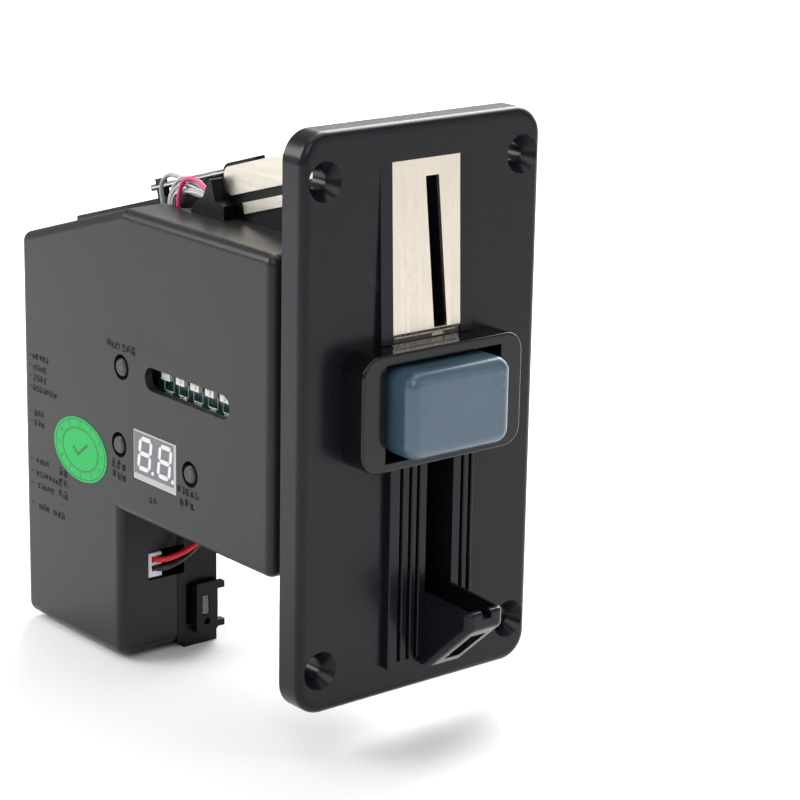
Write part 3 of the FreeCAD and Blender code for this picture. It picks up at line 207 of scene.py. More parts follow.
def brushed(name, colour, gloss, along):
    # metal with a drawn or brushed lay; the small scale runs along the lay
    finish, look = Finish(name, colour, gloss, 1.0), brushedLook
    lay = finish.noise(0, 3.0, finish.stretched(along))
    coarse = finish.noise(0, 2.0, finish.stretched([part * look["coarseShare"]
                                                    for part in along]))
    cloud = finish.noise(look["cloudSize"], 4.0)
    marks = finish.span(finish.noise(look["markSize"], 3.0), 0.66, 0.76)
    tone = finish.mix(lay, shade(colour, 0.86), shade(colour, 1.12))
    tone = finish.mix(finish.span(cloud, 0.35, 0.75) * 0.35, tone, shade(colour, 0.8))
    finish.set("Base Color", finish.mix(marks * 0.3, tone, shade(colour, 0.62)))
    finish.set("Roughness", finish.span(coarse, 0.3, 0.7, gloss - 0.07, gloss + 0.1)
               + marks * 0.12)
    finish.bump(lay + coarse * 0.6, look["depth"])
    return finish.material


def insulation(name, colour):
    # soft PVC: a slow bloom over a fine skin
    finish = Finish(name, colour, 0.38, Coat_Weight=0.1)
    cloud = finish.noise(3 * mm, 3.0)
    finish.set("Base Color", finish.mix(cloud, shade(colour, 0.8), shade(colour, 1.15)))
    finish.set("Roughness", finish.span(cloud, 0.3, 0.7, 0.32, 0.5))
    finish.bump(finish.noise(0.35 * mm, 2.0), 0.012 * mm)
    return finish.material


def wound(name, colour, axisName, pitch):
    # enamelled wire in close turns across an axis; the grooves between turns are darkened with
    # painted shade
    finish = Finish(name, colour, 0.3, 0.85, Coat_Weight=0.5)
    run = finish.axis(axisName) * (math.tau / pitch)
    turns = finish.math("SINE", run + finish.noise(2 * mm) * 0.8)
    # painted shade: the copper falls to about a third of its colour in the grooves between turns
    finish.set("Base Color", finish.mix(finish.span(turns, -1, 0.2), shade(colour, 0.35),
                                        colour + (1.0,)))
    finish.set("Roughness", finish.span(finish.noise(1.2 * mm), 0.3, 0.7, 0.22, 0.4))
    finish.bump(turns, 0.05 * mm)
    return finish.material


boardLook = {"trackCell": 2.6 * mm, "trackPitch": 1.27 * mm, "padCell": 3.9 * mm,
             "mask": (0.003, 0.024, 0.022, 1), "track": (0.01, 0.06, 0.05, 1),
             "pad": (0.72, 0.70, 0.66, 1)}


def circuitBoard(name):
    # solder mask over broken rows of copper tracks, with tinned pads
    finish, look = Finish(name, (0.004, 0.03, 0.026), 0.28, Coat_Weight=0.4), boardLook
    tracks = finish.cells(look["trackCell"])
    lanes = finish.math("SINE", finish.axis("Y") * (math.tau / look["trackPitch"]))
    copper = finish.span(lanes, 0.35, 0.5) * finish.span(tracks, 0.2, 0.26)
    pads = finish.span(finish.cells(look["padCell"]), 0.13, 0.11)
    base = finish.mix(copper, look["mask"], look["track"])
    finish.set("Base Color", finish.mix(pads, base, look["pad"]))
    finish.set("Metallic", pads)
    finish.set("Roughness", finish.span(finish.noise(1.5 * mm), 0.3, 0.7, 0.22, 0.36))
    finish.bump(copper + pads * 1.5, 0.03 * mm)
    return finish.material


buttonLook = {"cloudSize": 7 * mm, "fleckSize": 0.5 * mm, "deep": (0.036, 0.076, 0.114, 1),
              "pale": (0.062, 0.113, 0.156, 1), "fleck": (0.3, 0.36, 0.4, 1)}


def buttonPlastic(name):
    # smoky translucent cap: a slow cloud for depth, and pale flecks
    look = buttonLook
    finish = Finish(name, (0.062, 0.105, 0.145), 0.3, Coat_Weight=0.25, Coat_Roughness=0.2,
                    Subsurface_Weight=0.12, Subsurface_Scale=0.002)
    cloud = finish.noise(look["cloudSize"], 4.0)
    fleck = finish.span(finish.noise(look["fleckSize"], 3.0), 0.64, 0.74)
    tone = finish.mix(cloud, look["deep"], look["pale"])
    finish.set("Base Color", finish.mix(fleck * 0.15, tone, look["fleck"]))
    finish.set("Roughness", finish.span(cloud, 0.3, 0.7, 0.26, 0.38) + fleck * 0.1)
    finish.bump(finish.noise(0.45 * mm, 2.0), 0.012 * mm)
    return finish.material


def clearLens(name):
    # clear moulding with a faint ripple
    finish = Finish(name, (0.86, 0.9, 0.94), 0.06, IOR=1.49, Transmission_Weight=0.9,
                    Coat_Weight=0.3)
    finish.set("Roughness", finish.span(finish.noise(1.5 * mm), 0.3, 0.7, 0.04, 0.16))
    finish.bump(finish.noise(0.8 * mm), 0.01 * mm)
    return finish.material


def printed(name, colour, **fixed):
    # ink or label stock: slightly uneven, with pin holes
    finish = Finish(name, colour, 0.5, **fixed)
    cloud = finish.noise(0.8 * mm, 4.0)
    holes = finish.span(finish.noise(0.22 * mm, 2.0), 0.68, 0.74)
    tone = finish.mix(cloud, shade(colour, 0.85), shade(colour, 1.1))
    finish.set("Base Color", finish.mix(holes * 0.5, tone, shade(colour, 0.4)))
    finish.set("Roughness", finish.span(cloud, 0.3, 0.7, 0.42, 0.6))
    finish.bump(cloud, 0.01 * mm)
    return finish.material


materials = {
    "blackGloss": moulded("plateBlack", (0.0066, 0.0072, 0.0100), 0.27, 0.7 * mm, 0.006 * mm,
                          0.8, Specular_IOR_Level=0.20, Coat_Weight=0.06, Coat_Roughness=0.12),
    "surroundGloss": moulded("surroundBlack", (0.005, 0.005, 0.006), 0.15, 1.1 * mm,
                             0.003 * mm, 0.5, Specular_IOR_Level=0.22, Coat_Weight=0.22,
                             Coat_Roughness=0.05),
    "blackGrained": moulded("chassisBlack", (0.0045, 0.0046, 0.0052), 0.36, 0.32 * mm,
                            0.012 * mm, 0.5, Specular_IOR_Level=0.18),
    "coverGrained": moulded("coverGrey", (0.0165, 0.0165, 0.0172), 0.34, 0.3 * mm,
                            0.010 * mm, 1.8, Specular_IOR_Level=0.24),
    "nickel": brushed("bezelNickel", (0.68, 0.62, 0.535), 0.3, (5200, 5200, 70)),
    "guideNickel": brushed("guideNickel", (0.60, 0.565, 0.49), 0.34, (90, 110, 4200)),
    "platedSteel": brushed("platedSteel", (0.62, 0.62, 0.64), 0.28, (900, 900, 900)),
    "wireSteel": brushed("wireSteel", (0.60, 0.60, 0.61), 0.24, (3000, 700, 3000)),
    "nylon": moulded("nylonWhite", (0.74, 0.73, 0.68), 0.42, 0.5 * mm, 0.006 * mm, 0.3,
                     Subsurface_Weight=0.08, Subsurface_Scale=0.001),
    "keyBlack": moulded("keyBlack", (0.012, 0.012, 0.013), 0.3, 0.4 * mm, 0.006 * mm, 0.6),
    "ferrite": moulded("ferrite", (0.05, 0.048, 0.05), 0.62, 0.18 * mm, 0.02 * mm, 0.3),
    "button": buttonPlastic("buttonBlue"),
    "lens": clearLens("clearLens"),
    "board": circuitBoard("boardGreen"),
    "coil": wound("coilCopper", (0.52, 0.2, 0.07), "Y", 0.35 * mm),
    "winding": wound("windingCopper", (0.55, 0.24, 0.09), "X", 0.3 * mm),
    "whitePlastic": moulded("whitePlastic", (0.74, 0.75, 0.80), 0.38, 0.5 * mm, 0.006 * mm, 0.3),
    "displayFace": printed("displayFace", (0.125, 0.13, 0.14)),
    "displayRim": printed("displayRim", (0.36, 0.37, 0.38)),
    "segment": printed("displaySegment", (0.60, 0.61, 0.61)),
    "silkInk": printed("silkInk", (0.72, 0.75, 0.72)),
    "ledLens": printed("ledLens", (0.80, 0.78, 0.62)),
    "screwSteel": brushed("screwSteel", (0.50, 0.50, 0.50), 0.3, (2500, 2500, 2500)),
    "keyGrey": moulded("keyGrey", (0.016, 0.016, 0.017), 0.42, 0.3 * mm, 0.008 * mm, 0.5),
    "ledBody": printed("ledBody", (0.82, 0.82, 0.78)),
    "greenLabel": printed("labelGreen", (0.004, 0.35, 0.07), Specular_IOR_Level=0.3),
    "labelInk": printed("labelInk", (0.004, 0.10, 0.03)),
    "coverInk": printed("coverInk", (0.003, 0.003, 0.003), Specular_IOR_Level=0.08),
    "pvcPink": insulation("pvcPink", (0.66, 0.035, 0.20)),
    "pvcWhite": insulation("pvcWhite", (0.58, 0.575, 0.57)),
    "pvcGrey": insulation("pvcGrey", (0.33, 0.33, 0.35)),
    "pvcRed": insulation("pvcRed", (0.70, 0.006, 0.016)),
    "pvcBlack": insulation("pvcBlack", (0.012, 0.012, 0.013)),
    "canSleeve": moulded("canSleeve", (0.03, 0.04, 0.10), 0.3, 0.6 * mm, 0.004 * mm, 0.4),
}

nodeFinish = {
    "blackGloss": ["front_plate", "return_cup"],
    "surroundGloss": ["button_surround"],
    "blackGrained": ["chassis", "coin_deck", "lead_holder", "return_door", "return_chute",
                     "accept_chute", "exit_sensor"],
    "coverGrained": ["side_cover"],
    "nickel": ["slot_bezel"],
    "guideNickel": ["coin_guide_plate"],
    "platedSteel": ["solenoid_frame", "solenoid_plunger", "power_pins", "contact_switch",
                    "speed_switch", "cover_screws", "body_screws", "chute_screws",
                    "board_screws"],
    "wireSteel": ["hinge_pin", "button_spring", "door_spring", "plunger_spring"],
    "nylon": ["button_frame", "lamp_holder", "accept_gate", "sensor_header", "power_socket"],
    "whitePlastic": ["lamp_socket"],
    "keyBlack": ["mode_key", "add_key", "minus_key", "set_key", "key_bases", "contact_knob",
                 "speed_knob", "set_key_base", "board_chips"],
    "button": ["button_cap"],
    "lens": ["button_lamp", "sensor_lens"],
    "board": ["main_board"],
    "coil": ["solenoid_coil"],
    "winding": ["sensor_windings"],
    "ferrite": ["sensor_cores"],
    "canSleeve": ["board_capacitors"],
    "displayFace": ["display_module"],
    "ledBody": ["status_leds"],
    "greenLabel": ["inspection_sticker"],
    "pvcPink": ["lead_pink"],
    "pvcWhite": ["lead_white"],
    "pvcGrey": ["lead_grey"],
    "pvcRed": ["lead_red"],
    "pvcBlack": ["lead_black"],
}
for finishName, members in nodeFinish.items():
    for member in members:
        mesh = nodes[member].data
        mesh.materials.clear()
        mesh.materials.append(materials[finishName])
dressed = [member for members in nodeFinish.values() for member in members]
print("finishes:", len(materials), "bare nodes:", sorted(set(nodes) - set(dressed)))


# a geometry tree with named inputs, grown once into a plain mesh
class Growth(Maker):
    def __init__(self, name, inputs):
        super().__init__(bpy.data.node_groups.new(name, "GeometryNodeTree"))
        self.name, self.keys = name, {}
        face = self.tree.interface
        face.new_socket("Geometry", in_out="OUTPUT", socket_type="NodeSocketGeometry")
        face.new_socket("Geometry", in_out="INPUT", socket_type="NodeSocketGeometry")
        for label, kind in list(inputs.items()) + [("Material", "Material")]:
            made = face.new_socket(label, in_out="INPUT", socket_type="NodeSocket" + kind)
            self.keys[label] = made.identifier
        self.entry = self.tree.nodes.new("NodeGroupInput")

    def given(self, label):
        return Socket(self, self.entry.outputs[label])

    def vector(self, x, y, z):
        return self.node("ShaderNodeCombineXYZ", {}, {0: x, 1: y, 2: z})

    def ramped(self, value, low, high, reach):
        return self.node("ShaderNodeMapRange", {}, {"Value": value, "From Min": low,
                                                    "From Max": high, "To Max": reach})

    def coil(self, radius, wire, length, turns, rings=28, sides=10):
        # a wire wound round Z; its first and last turns lie closed on their neighbours
        line = self.node("GeometryNodeCurvePrimitiveLine", {}, {"End": (0, 0, 1)})
        line = self.node("GeometryNodeResampleCurve", {}, {"Curve": line, "Count": turns * rings})
        along = self.node("GeometryNodeSplineParameter") * turns
        rise = (wire * 0.5 + self.ramped(along, 0, 1, wire)
                + self.ramped(along, 1, turns - 1, length - wire * 3)
                + self.ramped(along, turns - 1, turns, wire))
        angle = along * math.tau
        place = self.vector(self.math("COSINE", angle) * radius,
                            self.math("SINE", angle) * radius, rise)
        line = self.node("GeometryNodeSetPosition", {}, {"Geometry": line, "Position": place})
        ring = self.node("GeometryNodeCurvePrimitiveCircle", {}, {"Resolution": sides,
                                                                  "Radius": wire * 0.5})
        return self.node("GeometryNodeCurveToMesh", {}, {"Curve": line, "Profile Curve": ring,
                                                         "Fill Caps": True})

    def scatter(self, instance, turn=(0, 0, 0)):
        spots = self.node("GeometryNodeMeshToPoints", {}, {"Mesh": self.given("Geometry")})
        return self.node("GeometryNodeInstanceOnPoints", {}, {
            "Points": spots, "Instance": instance, "Rotation": turn})

    def close(self, geometry, smooth=True):
        geometry = self.node("GeometryNodeRealizeInstances", {}, {"Geometry": geometry})
        geometry = self.node("GeometryNodeSetShadeSmooth", {}, {"Geometry": geometry,
                                                                "Shade Smooth": smooth})
        geometry = self.node("GeometryNodeSetMaterial", {}, {"Geometry": geometry,
                                                             "Material": self.given("Material")})
        self.tree.links.new(geometry.output, self.tree.nodes.new("NodeGroupOutput").inputs[0])

    def grow(self, name, spots, look, place=None):
        mesh = bpy.data.meshes.new(name)
        mesh.from_pydata(spots, [], [])
        piece = bpy.data.objects.new(name, mesh)
        bpy.context.scene.collection.objects.link(piece)
        growing = piece.modifiers.new(self.name, "NODES")
        growing.node_group = self.tree
        for label, value in look.items():
            growing[self.keys[label]] = value
        depsgraph = bpy.context.evaluated_depsgraph_get()
        grown = bpy.data.meshes.new_from_object(piece.evaluated_get(depsgraph))
        piece.modifiers.clear()
        if place:
            grown.transform(place)
        piece.data = grown
        return piece


def springTree():
    tree = Growth("springTree", {"Radius": "Float", "Wire": "Float", "Length": "Float",
                                 "Turns": "Float"})
    tree.close(tree.coil(*(tree.given(label) for label in ("Radius", "Wire", "Length",
                                                           "Turns"))))
    return tree


def screwTree():
    # pan head with a cross recess, and a threaded shank below it
    tree = Growth("screwTree", {"Head Radius": "Float", "Head Height": "Float",
                                "Recess": "Float", "Shank Radius": "Float",
                                "Shank Length": "Float", "Pitch": "Float", "Turn": "Rotation"})
    radius, height, recess = (tree.given(label) for label in ("Head Radius", "Head Height",
                                                              "Recess"))
    core, length, pitch = (tree.given(label) for label in ("Shank Radius", "Shank Length",
                                                           "Pitch"))
    ball = tree.node("GeometryNodeMeshUVSphere", {}, {"Segments": 32, "Rings": 16,
                                                      "Radius": radius})
    where = tree.node("GeometryNodeInputPosition")
    across = tree.node("ShaderNodeVectorMath", {"operation": "MULTIPLY"},
                       {0: where, 1: (1, 1, 0)})
    reach = tree.math("DIVIDE", tree.node("ShaderNodeVectorMath", {"operation": "LENGTH"},
                                          {0: across}, "Value"), radius)
    crown = tree.math("SQRT", tree.math("MAXIMUM", 1 - tree.math("POWER", reach, 4.0), 0))
    above = tree.math("GREATER_THAN", tree.node("ShaderNodeSeparateXYZ", {}, {0: where}, "Z"),
                      0.001 * mm)
    place = tree.node("ShaderNodeVectorMath", {"operation": "ADD"},
                      {0: across, 1: tree.vector(0, 0, crown * above * height)})
    head = tree.node("GeometryNodeSetPosition", {}, {"Geometry": ball, "Position": place})
    # the cross is cut by two bars, a quarter as wide as they are long
    wide, deep = recess * 0.26, height * 1.3
    bars = []
    for size in (tree.vector(recess, wide, deep), tree.vector(wide, recess, deep)):
        bar = tree.node("GeometryNodeMeshCube", {}, {"Size": size})
        bars.append(tree.node("GeometryNodeTransform", {}, {
            "Geometry": bar, "Translation": tree.vector(0, 0, height)}))
    head = tree.node("GeometryNodeMeshBoolean", {"operation": "DIFFERENCE"},
                     {"Mesh 1": head, "Mesh 2": bars})
    stem = tree.node("GeometryNodeMeshCylinder", {}, {"Vertices": 24, "Radius": core,
                                                      "Depth": length})
    stem = tree.node("GeometryNodeTransform", {}, {
        "Geometry": stem, "Translation": tree.vector(0, 0, length * -0.5)})
    threadWire = 0.4 * mm
    thread = tree.coil(core, threadWire, length, tree.math("DIVIDE", length, pitch), 14, 5)
    thread = tree.node("GeometryNodeTransform", {}, {
        "Geometry": thread, "Translation": tree.vector(0, 0, length * -1)})
    screw = tree.node("GeometryNodeJoinGeometry", {}, {0: [head, stem, thread]})
    tree.close(tree.scatter(screw, tree.given("Turn")), False)
    return tree


def outlineTree():
    # a rectangle of ink round each point, in the plane across X
    tree = Growth("outlineTree", {"Long": "Float", "Tall": "Float", "Line": "Float"})
    loop = tree.node("GeometryNodeCurvePrimitiveQuadrilateral", {}, {
        0: tree.given("Long"), 1: tree.given("Tall")})
    loop = tree.node("GeometryNodeTransform", {}, {"Geometry": loop, "Rotation": (
        math.pi / 2, 0, math.pi / 2)})
    ring = tree.node("GeometryNodeCurvePrimitiveCircle", {}, {
        "Resolution": 4, "Radius": tree.given("Line") * 0.5})
    loop = tree.node("GeometryNodeCurveToMesh", {}, {"Curve": loop, "Profile Curve": ring})
    tree.close(tree.scatter(loop), False)
    return tree


nodeWeld, pieceWeld = 0.000002, 0.000001  # metres within which points are one


def islands(name):
    # boxes of the separate bodies in one CAD node
    mesh = bmesh.new()
    mesh.from_mesh(nodes[name].data)
    bmesh.ops.remove_doubles(mesh, verts=mesh.verts, dist=nodeWeld)
    left, found = set(mesh.verts), []
    while left:
        queue = [left.pop()]
        member = []
        while queue:
            point = queue.pop()
            member.append(point.co.copy())
            for edge in point.link_edges:
                other = edge.other_vert(point)
                if other in left:
                    left.discard(other)
                    queue.append(other)
        found.append((Vector([min(p[i] for p in member) for i in range(3)]),
                      Vector([max(p[i] for p in member) for i in range(3)])))
    mesh.free()
    return sorted(found, key=lambda pair: (round(pair[0].z, 4), round(pair[0].y, 4),
                                           round(pair[0].x, 4)))


def meshPiece(name, points, faces, material, smooth=False):
    mesh = bpy.data.meshes.new(name)
    mesh.from_pydata(points, [], faces)
    work = bmesh.new()
    work.from_mesh(mesh)
    bmesh.ops.remove_doubles(work, verts=work.verts, dist=pieceWeld)
    bmesh.ops.recalc_face_normals(work, faces=work.faces)
    work.to_mesh(mesh)
    work.free()
    mesh.polygons.foreach_set("use_smooth", [smooth] * len(mesh.polygons))
    mesh.materials.append(material)
    piece = bpy.data.objects.new(name, mesh)
    bpy.context.scene.collection.objects.link(piece)
    return piece


def slabs(name, outlines, face, thick, material):
    # flat shapes drawn as (y, z) outlines, standing from a face towards -X
    points, faces = [], []
    for outline in outlines:
        first, count = len(points), len(outline)
        for x in (face, face - thick):
            points += [(x, y, z) for y, z in outline]
        faces.append(tuple(range(first, first + count)))
        faces.append(tuple(range(first + count, first + 2 * count)))
        for index in range(count):
            after = (index + 1) % count
            faces.append((first + index, first + after, first + count + after,
                          first + count + index))
    return meshPiece(name, points, faces, material)


def lathe(name, profile, place, material, steps=40):
    # (radius, height) pairs turned round Z, then put in place by a matrix
    points, faces = [], []
    for step in range(steps):
        angle = math.tau * step / steps
        points += [place @ Vector((radius * math.cos(angle), radius * math.sin(angle), height))
                   for radius, height in profile]
    count = len(profile)
    for step in range(steps):
        one, two = step * count, (step + 1) % steps * count
        for index in range(count - 1):
            faces.append((one + index, one + index + 1, two + index + 1, two + index))
    return meshPiece(name, points, faces, material, True)


def facing(direction, place):
    # a matrix that stands +Z along a direction at a place
    turn = Vector(direction).to_track_quat("Z", "Y").to_matrix().to_4x4()
    return Matrix.Translation(Vector(place)) @ turn


# fixed: 0 the foot or 1 the far end, meant to stay still, though nothing here moves the springs;
# no axis means the door's pin
springs = {
    "button_spring": {"wire": 0.8 * mm, "turns": 4.5, "axis": (0, 1, 0),
                      "joint": "button_press", "travel": 4.5 * mm, "fixed": 1},
    "plunger_spring": {"wire": 0.6 * mm, "turns": 9.5, "axis": (0, 1, 0),
                       "joint": "plunger_pull", "travel": 6.0 * mm, "fixed": 0},
    "door_spring": {"wire": 0.35 * mm, "turns": 16.5, "axis": None, "joint": None},
}


def windSprings(tree, looks):
    joints = {joint["name"]: joint for joint in frame["joints"]}
    for node, look in looks.items():
        axis = Vector(look["axis"] or joints["door_swing"]["axis"]).normalized()
        low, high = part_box(node)
        middle = (Vector(low) + Vector(high)) / 2
        along, out = [], []
        for vertex in nodes[node].data.vertices:
            step = vertex.co - middle
            along.append(step.dot(axis))
            out.append((step - axis * step.dot(axis)).length)
        length, radius = max(along) - min(along), max(out) - look["wire"] / 2
        foot = middle + axis * min(along)
        piece = tree.grow(node.replace("_s", "S"), [(0, 0, 0)],
                          {"Radius": radius, "Wire": look["wire"], "Length": length,
                           "Turns": look["turns"], "Material": materials["wireSteel"]},
                          facing(axis, foot))
        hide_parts(node)
        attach(piece, "housing")
        if look["joint"]:
            foot + axis * length * look["fixed"]
            (length - look["travel"]) / length
            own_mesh(piece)


windSprings(springTree(), springs)
print("springs wound:", len(springs))


# way: which way the heads face; recess: its length as a share of the head's width
screwSets = {
    "cover_screws": {"way": (1, 0, 0), "recess": 0.66, "pitch": 1.1 * mm},
    "body_screws": {"way": (0, 1, 0), "recess": 0.66, "pitch": 1.1 * mm},
    "chute_screws": {"way": (0, 1, 0), "recess": 0.66, "pitch": 1.1 * mm},
    "board_screws": {"way": (1, 0, 0), "recess": 0.64, "pitch": 0.9 * mm},
}
screwLook = {"headTall": 1.2 * mm, "core": 1.15 * mm}


def driveScrews(tree, sets):
    headTall, core = screwLook["headTall"], screwLook["core"]
    for node, look in sets.items():
        way = Vector(look["way"])
        axis = max(range(3), key=lambda index: abs(way[index]))
        seats, heads = [], []
        for low, high in islands(node):
            middle = (low + high) / 2
            seat = middle.copy()
            seat[axis] = high[axis] - headTall if way[axis] > 0 else low[axis] + headTall
            seats.append(seat)
            heads.append((high - low)[(axis + 1) % 3] / 2)
            length = (high - low)[axis] - headTall
        piece = tree.grow(node.split("_")[0] + "Screws", seats, {
            "Head Radius": heads[0], "Head Height": headTall,
            "Recess": heads[0] * 2 * look["recess"], "Shank Radius": core,
            "Shank Length": length, "Pitch": look["pitch"],
            "Turn": tuple(way.to_track_quat("Z", "Y").to_euler()),
            "Material": materials["screwSteel"]})
        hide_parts(node)
        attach(piece, "housing")


driveScrews(screwTree(), screwSets)
print("screws driven:", sum(len(islands(node)) for node in screwSets))


# borders: widths of the bottom, top, left and right
displayLook = {"tall": 8.2 * mm, "wide": 5.3 * mm, "stroke": 1.05 * mm, "gap": 0.16 * mm,
               "slant": 0.14, "lift": 0.7 * mm, "numerals": (0.27, 0.735),
               "dotOut": 0.9, "dotDrop": 0.46, "dotRadius": 0.5 * mm, "dotSides": 14,
               "borders": (1.5 * mm, 0.4 * mm, 0.25 * mm, 0.9 * mm), "thick": 0.06 * mm}


def segmentOutlines(wide, tall, stroke, gap):
    # seven pointed bars of a numeral, drawn round its middle with x to the right
    half, up, thin = (wide - stroke) / 2, (tall - stroke) / 4, stroke / 2
    bars = []
    for level in (-2, 0, 2):
        z, reach = level * up, half - gap
        bars.append([(-reach, z), (-reach + thin, z + thin), (reach - thin, z + thin),
                     (reach, z), (reach - thin, z - thin), (-reach + thin, z - thin)])
    for side in (-half, half):
        for level in (-1, 1):
            foot, top = level * up - up + gap, level * up + up - gap
            bars.append([(side, foot), (side + thin, foot + thin), (side + thin, top - thin),
                         (side, top), (side - thin, top - thin), (side - thin, foot + thin)])
    return bars


def drawDisplay(look):
    low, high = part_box("display_module")
    face, wide, tall = low.x, high.y - low.y, high.z - low.z
    bottom, top, left, right = look["borders"]
    outlines = []
    for share in look["numerals"]:
        y = high.y - wide * share
        z = (low.z + high.z) / 2 + look["lift"]
        bars = segmentOutlines(look["wide"], look["tall"], look["stroke"], look["gap"])
        dotX = look["wide"] * 0.5 + look["stroke"] * look["dotOut"]
        dotZ, dotRadius = -look["tall"] * look["dotDrop"], look["dotRadius"]
        sides = look["dotSides"]
        bars.append([(dotX + dotRadius * math.cos(angle), dotZ + dotRadius * math.sin(angle))
                     for angle in (math.tau * step / sides for step in range(sides))])
        for outline in bars:
            outlines.append([(y - across - up * look["slant"], z + up)
                             for across, up in outline])
    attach(slabs("displaySegments", outlines, face, look["thick"], materials["segment"]),
            "housing")
    inner = (low.y + right, high.y - left, low.z + bottom, high.z - top)
    border = [[(low.y, low.z), (high.y, low.z), (high.y, inner[2]), (low.y, inner[2])],
              [(low.y, inner[3]), (high.y, inner[3]), (high.y, high.z), (low.y, high.z)],
              [(low.y, inner[2]), (inner[0], inner[2]), (inner[0], inner[3]),
               (low.y, inner[3])],
              [(inner[1], inner[2]), (high.y, inner[2]), (high.y, inner[3]),
               (inner[1], inner[3])]]
    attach(slabs("displayBorder", border, face, look["thick"] * 0.6,
                  materials["displayRim"]), "housing")


drawDisplay(displayLook)
print("display drawn")


# each key is a node and a body of the same name
keyLook = {"keys": ["mode_key", "add_key", "minus_key"], "dish": 0.62, "depth": 0.12 * mm,
           "proud": 0.05 * mm, "foot": 0.2 * mm}


def dishKeys(look):
    proud, depth, foot = look["proud"], look["depth"], look["foot"]
    for key in look["keys"]:
        low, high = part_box(key)
        middle = (low + high) / 2
        reach = (high.y - low.y) / 2 * look["dish"]
        # up the side, over a raised rim and down into the dish
        profile = [(0, -foot), (reach, -foot), (reach, proud), (reach * 0.93, proud * 1.6),
                   (reach * 0.8, proud), (reach * 0.45, proud - depth * 0.7),
                   (0, proud - depth)]
        piece = lathe(key.replace("_key", "KeyDish"), profile,
                      facing((-1, 0, 0), (low.x, middle.y, middle.z)), materials["keyGrey"])
        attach(piece, key)


dishKeys(keyLook)


# rows: y of the left end, z of the middle, number of marks and their height; all in mm
inkLook = {
    "rows": [(69.0, 3.7, 3, 1.8), (62.8, 3.7, 3, 1.9), (67.6, -24.6, 3, 2.1),
             (67.2, -27.2, 3, 2.0), (41.4, -24.2, 5, 1.7), (40.4, -26.9, 3, 2.0),
             (52.4, -29.8, 2, 1.5), (101.2, -6.6, 5, 1.5), (100.8, -9.2, 4, 1.5),
             (100.8, -11.8, 4, 1.5), (101.2, -14.4, 7, 1.5), (101.0, -20.6, 3, 1.5),
             (100.8, -23.0, 3, 1.5), (100.2, -32.4, 4, 1.4), (100.4, -35.6, 7, 1.4),
             (99.6, -38.6, 5, 1.4), (99.4, -43.6, 3, 1.7), (93.0, -43.6, 3, 1.7),
             (90.4, -32.6, 2, 2.0), (90.4, -35.4, 2, 2.0), (90.4, -38.2, 2, 2.0)],
    "dashes": [-6.6, -9.2, -11.8, -14.4, -20.6, -23.0, -32.4, -35.6, -38.6, -43.6],
    "dashLeft": 102.8, "dashLong": 1.1, "dashTall": 0.22, "thick": 0.02, "seed": 11}
glyphLook = {"line": 0.17, "wide": 0.8, "levels": (0, 0.28, 0.56, 0.83),
             "sides": (0, 0.4, 0.85), "strokes": (0.55, 0.85), "shift": (0, 0.2)}


def bar(y, z, wide, tall):
    return [(y, z), (y - wide, z), (y - wide, z + tall), (y, z + tall)]


def glyphRow(y, z, count, tall, maker):
    # abstract marks in square cells, made of crossing strokes
    look, marks = glyphLook, []
    line, wide = tall * look["line"], tall * look["wide"]
    for index in range(count):
        left = y - index * tall
        for level in maker.sample(look["levels"], 3):
            marks.append(bar(left - wide * maker.uniform(*look["shift"]), z + tall * level,
                             wide * maker.uniform(*look["strokes"]), line))
        for side in maker.sample(look["sides"], 2):
            marks.append(bar(left - wide * side, z + tall * maker.uniform(*look["shift"]),
                             line, tall * maker.uniform(*look["strokes"])))
    return marks


def printCover(look):
    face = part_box("side_cover")[0].x
    maker, marks = random.Random(look["seed"]), []
    for y, z, count, tall in look["rows"]:
        marks += glyphRow(y * mm, (z - tall / 2) * mm, count, tall * mm, maker)
    for z in look["dashes"]:
        marks.append(bar(look["dashLeft"] * mm, z * mm, look["dashLong"] * mm,
                         look["dashTall"] * mm))
    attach(slabs("coverPrint", marks, face, look["thick"] * mm, materials["coverInk"]),
            "housing")


printCover(inkLook)
print("keys dished, cover printed")


# dome: the lens's profile, as shares of its radius and heights above the chip
lightLook = {"long": 3.5 * mm, "tall": 2.7 * mm, "drop": 2.5 * mm, "line": 0.26 * mm,
             "proud": 0.02 * mm, "lens": 0.75 * mm, "skirt": 0.1 * mm,
             "dome": [(1, 0), (0.94, 0.1 * mm), (0.7, 0.22 * mm), (0, 0.3 * mm)],
             "printLeft": 1.4 * mm, "printDrop": 1.0 * mm, "printMarks": 3,
             "printTall": 0.9 * mm, "printThick": 0.03 * mm, "printSeed": 4}


def markLights(look):
    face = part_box("main_board")[0].x
    spots, lenses = [], []
    chips = sorted(islands("status_leds"), key=lambda pair: pair[0].y)
    for index, (low, high) in enumerate(chips):
        middle = (low + high) / 2
        spots.append((face - look["proud"], middle.y, middle.z - look["drop"]))
        profile = [(0, -look["skirt"]), (look["lens"], -look["skirt"])]
        profile += [(look["lens"] * share, height) for share, height in look["dome"]]
        lens = lathe("lightLens%d" % index, profile,
                     facing((-1, 0, 0), (low.x, middle.y, middle.z)), materials["ledLens"], 20)
        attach(lens, "housing")
    piece = outlineTree().grow("boardOutlines", spots, {
        "Long": look["long"], "Tall": look["tall"], "Line": look["line"],
        "Material": materials["silkInk"]})
    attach(piece, "housing")
    # rows of tiny print under the outlines
    maker, marks = random.Random(look["printSeed"]), []
    for x, y, z in spots:
        marks += glyphRow(y + look["printLeft"], z - look["tall"] / 2 - look["printDrop"],
                          look["printMarks"], look["printTall"], maker)
    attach(slabs("boardPrint", marks, face, look["printThick"], materials["silkInk"]),
            "housing")


markLights(lightLook)
print("status lights marked")


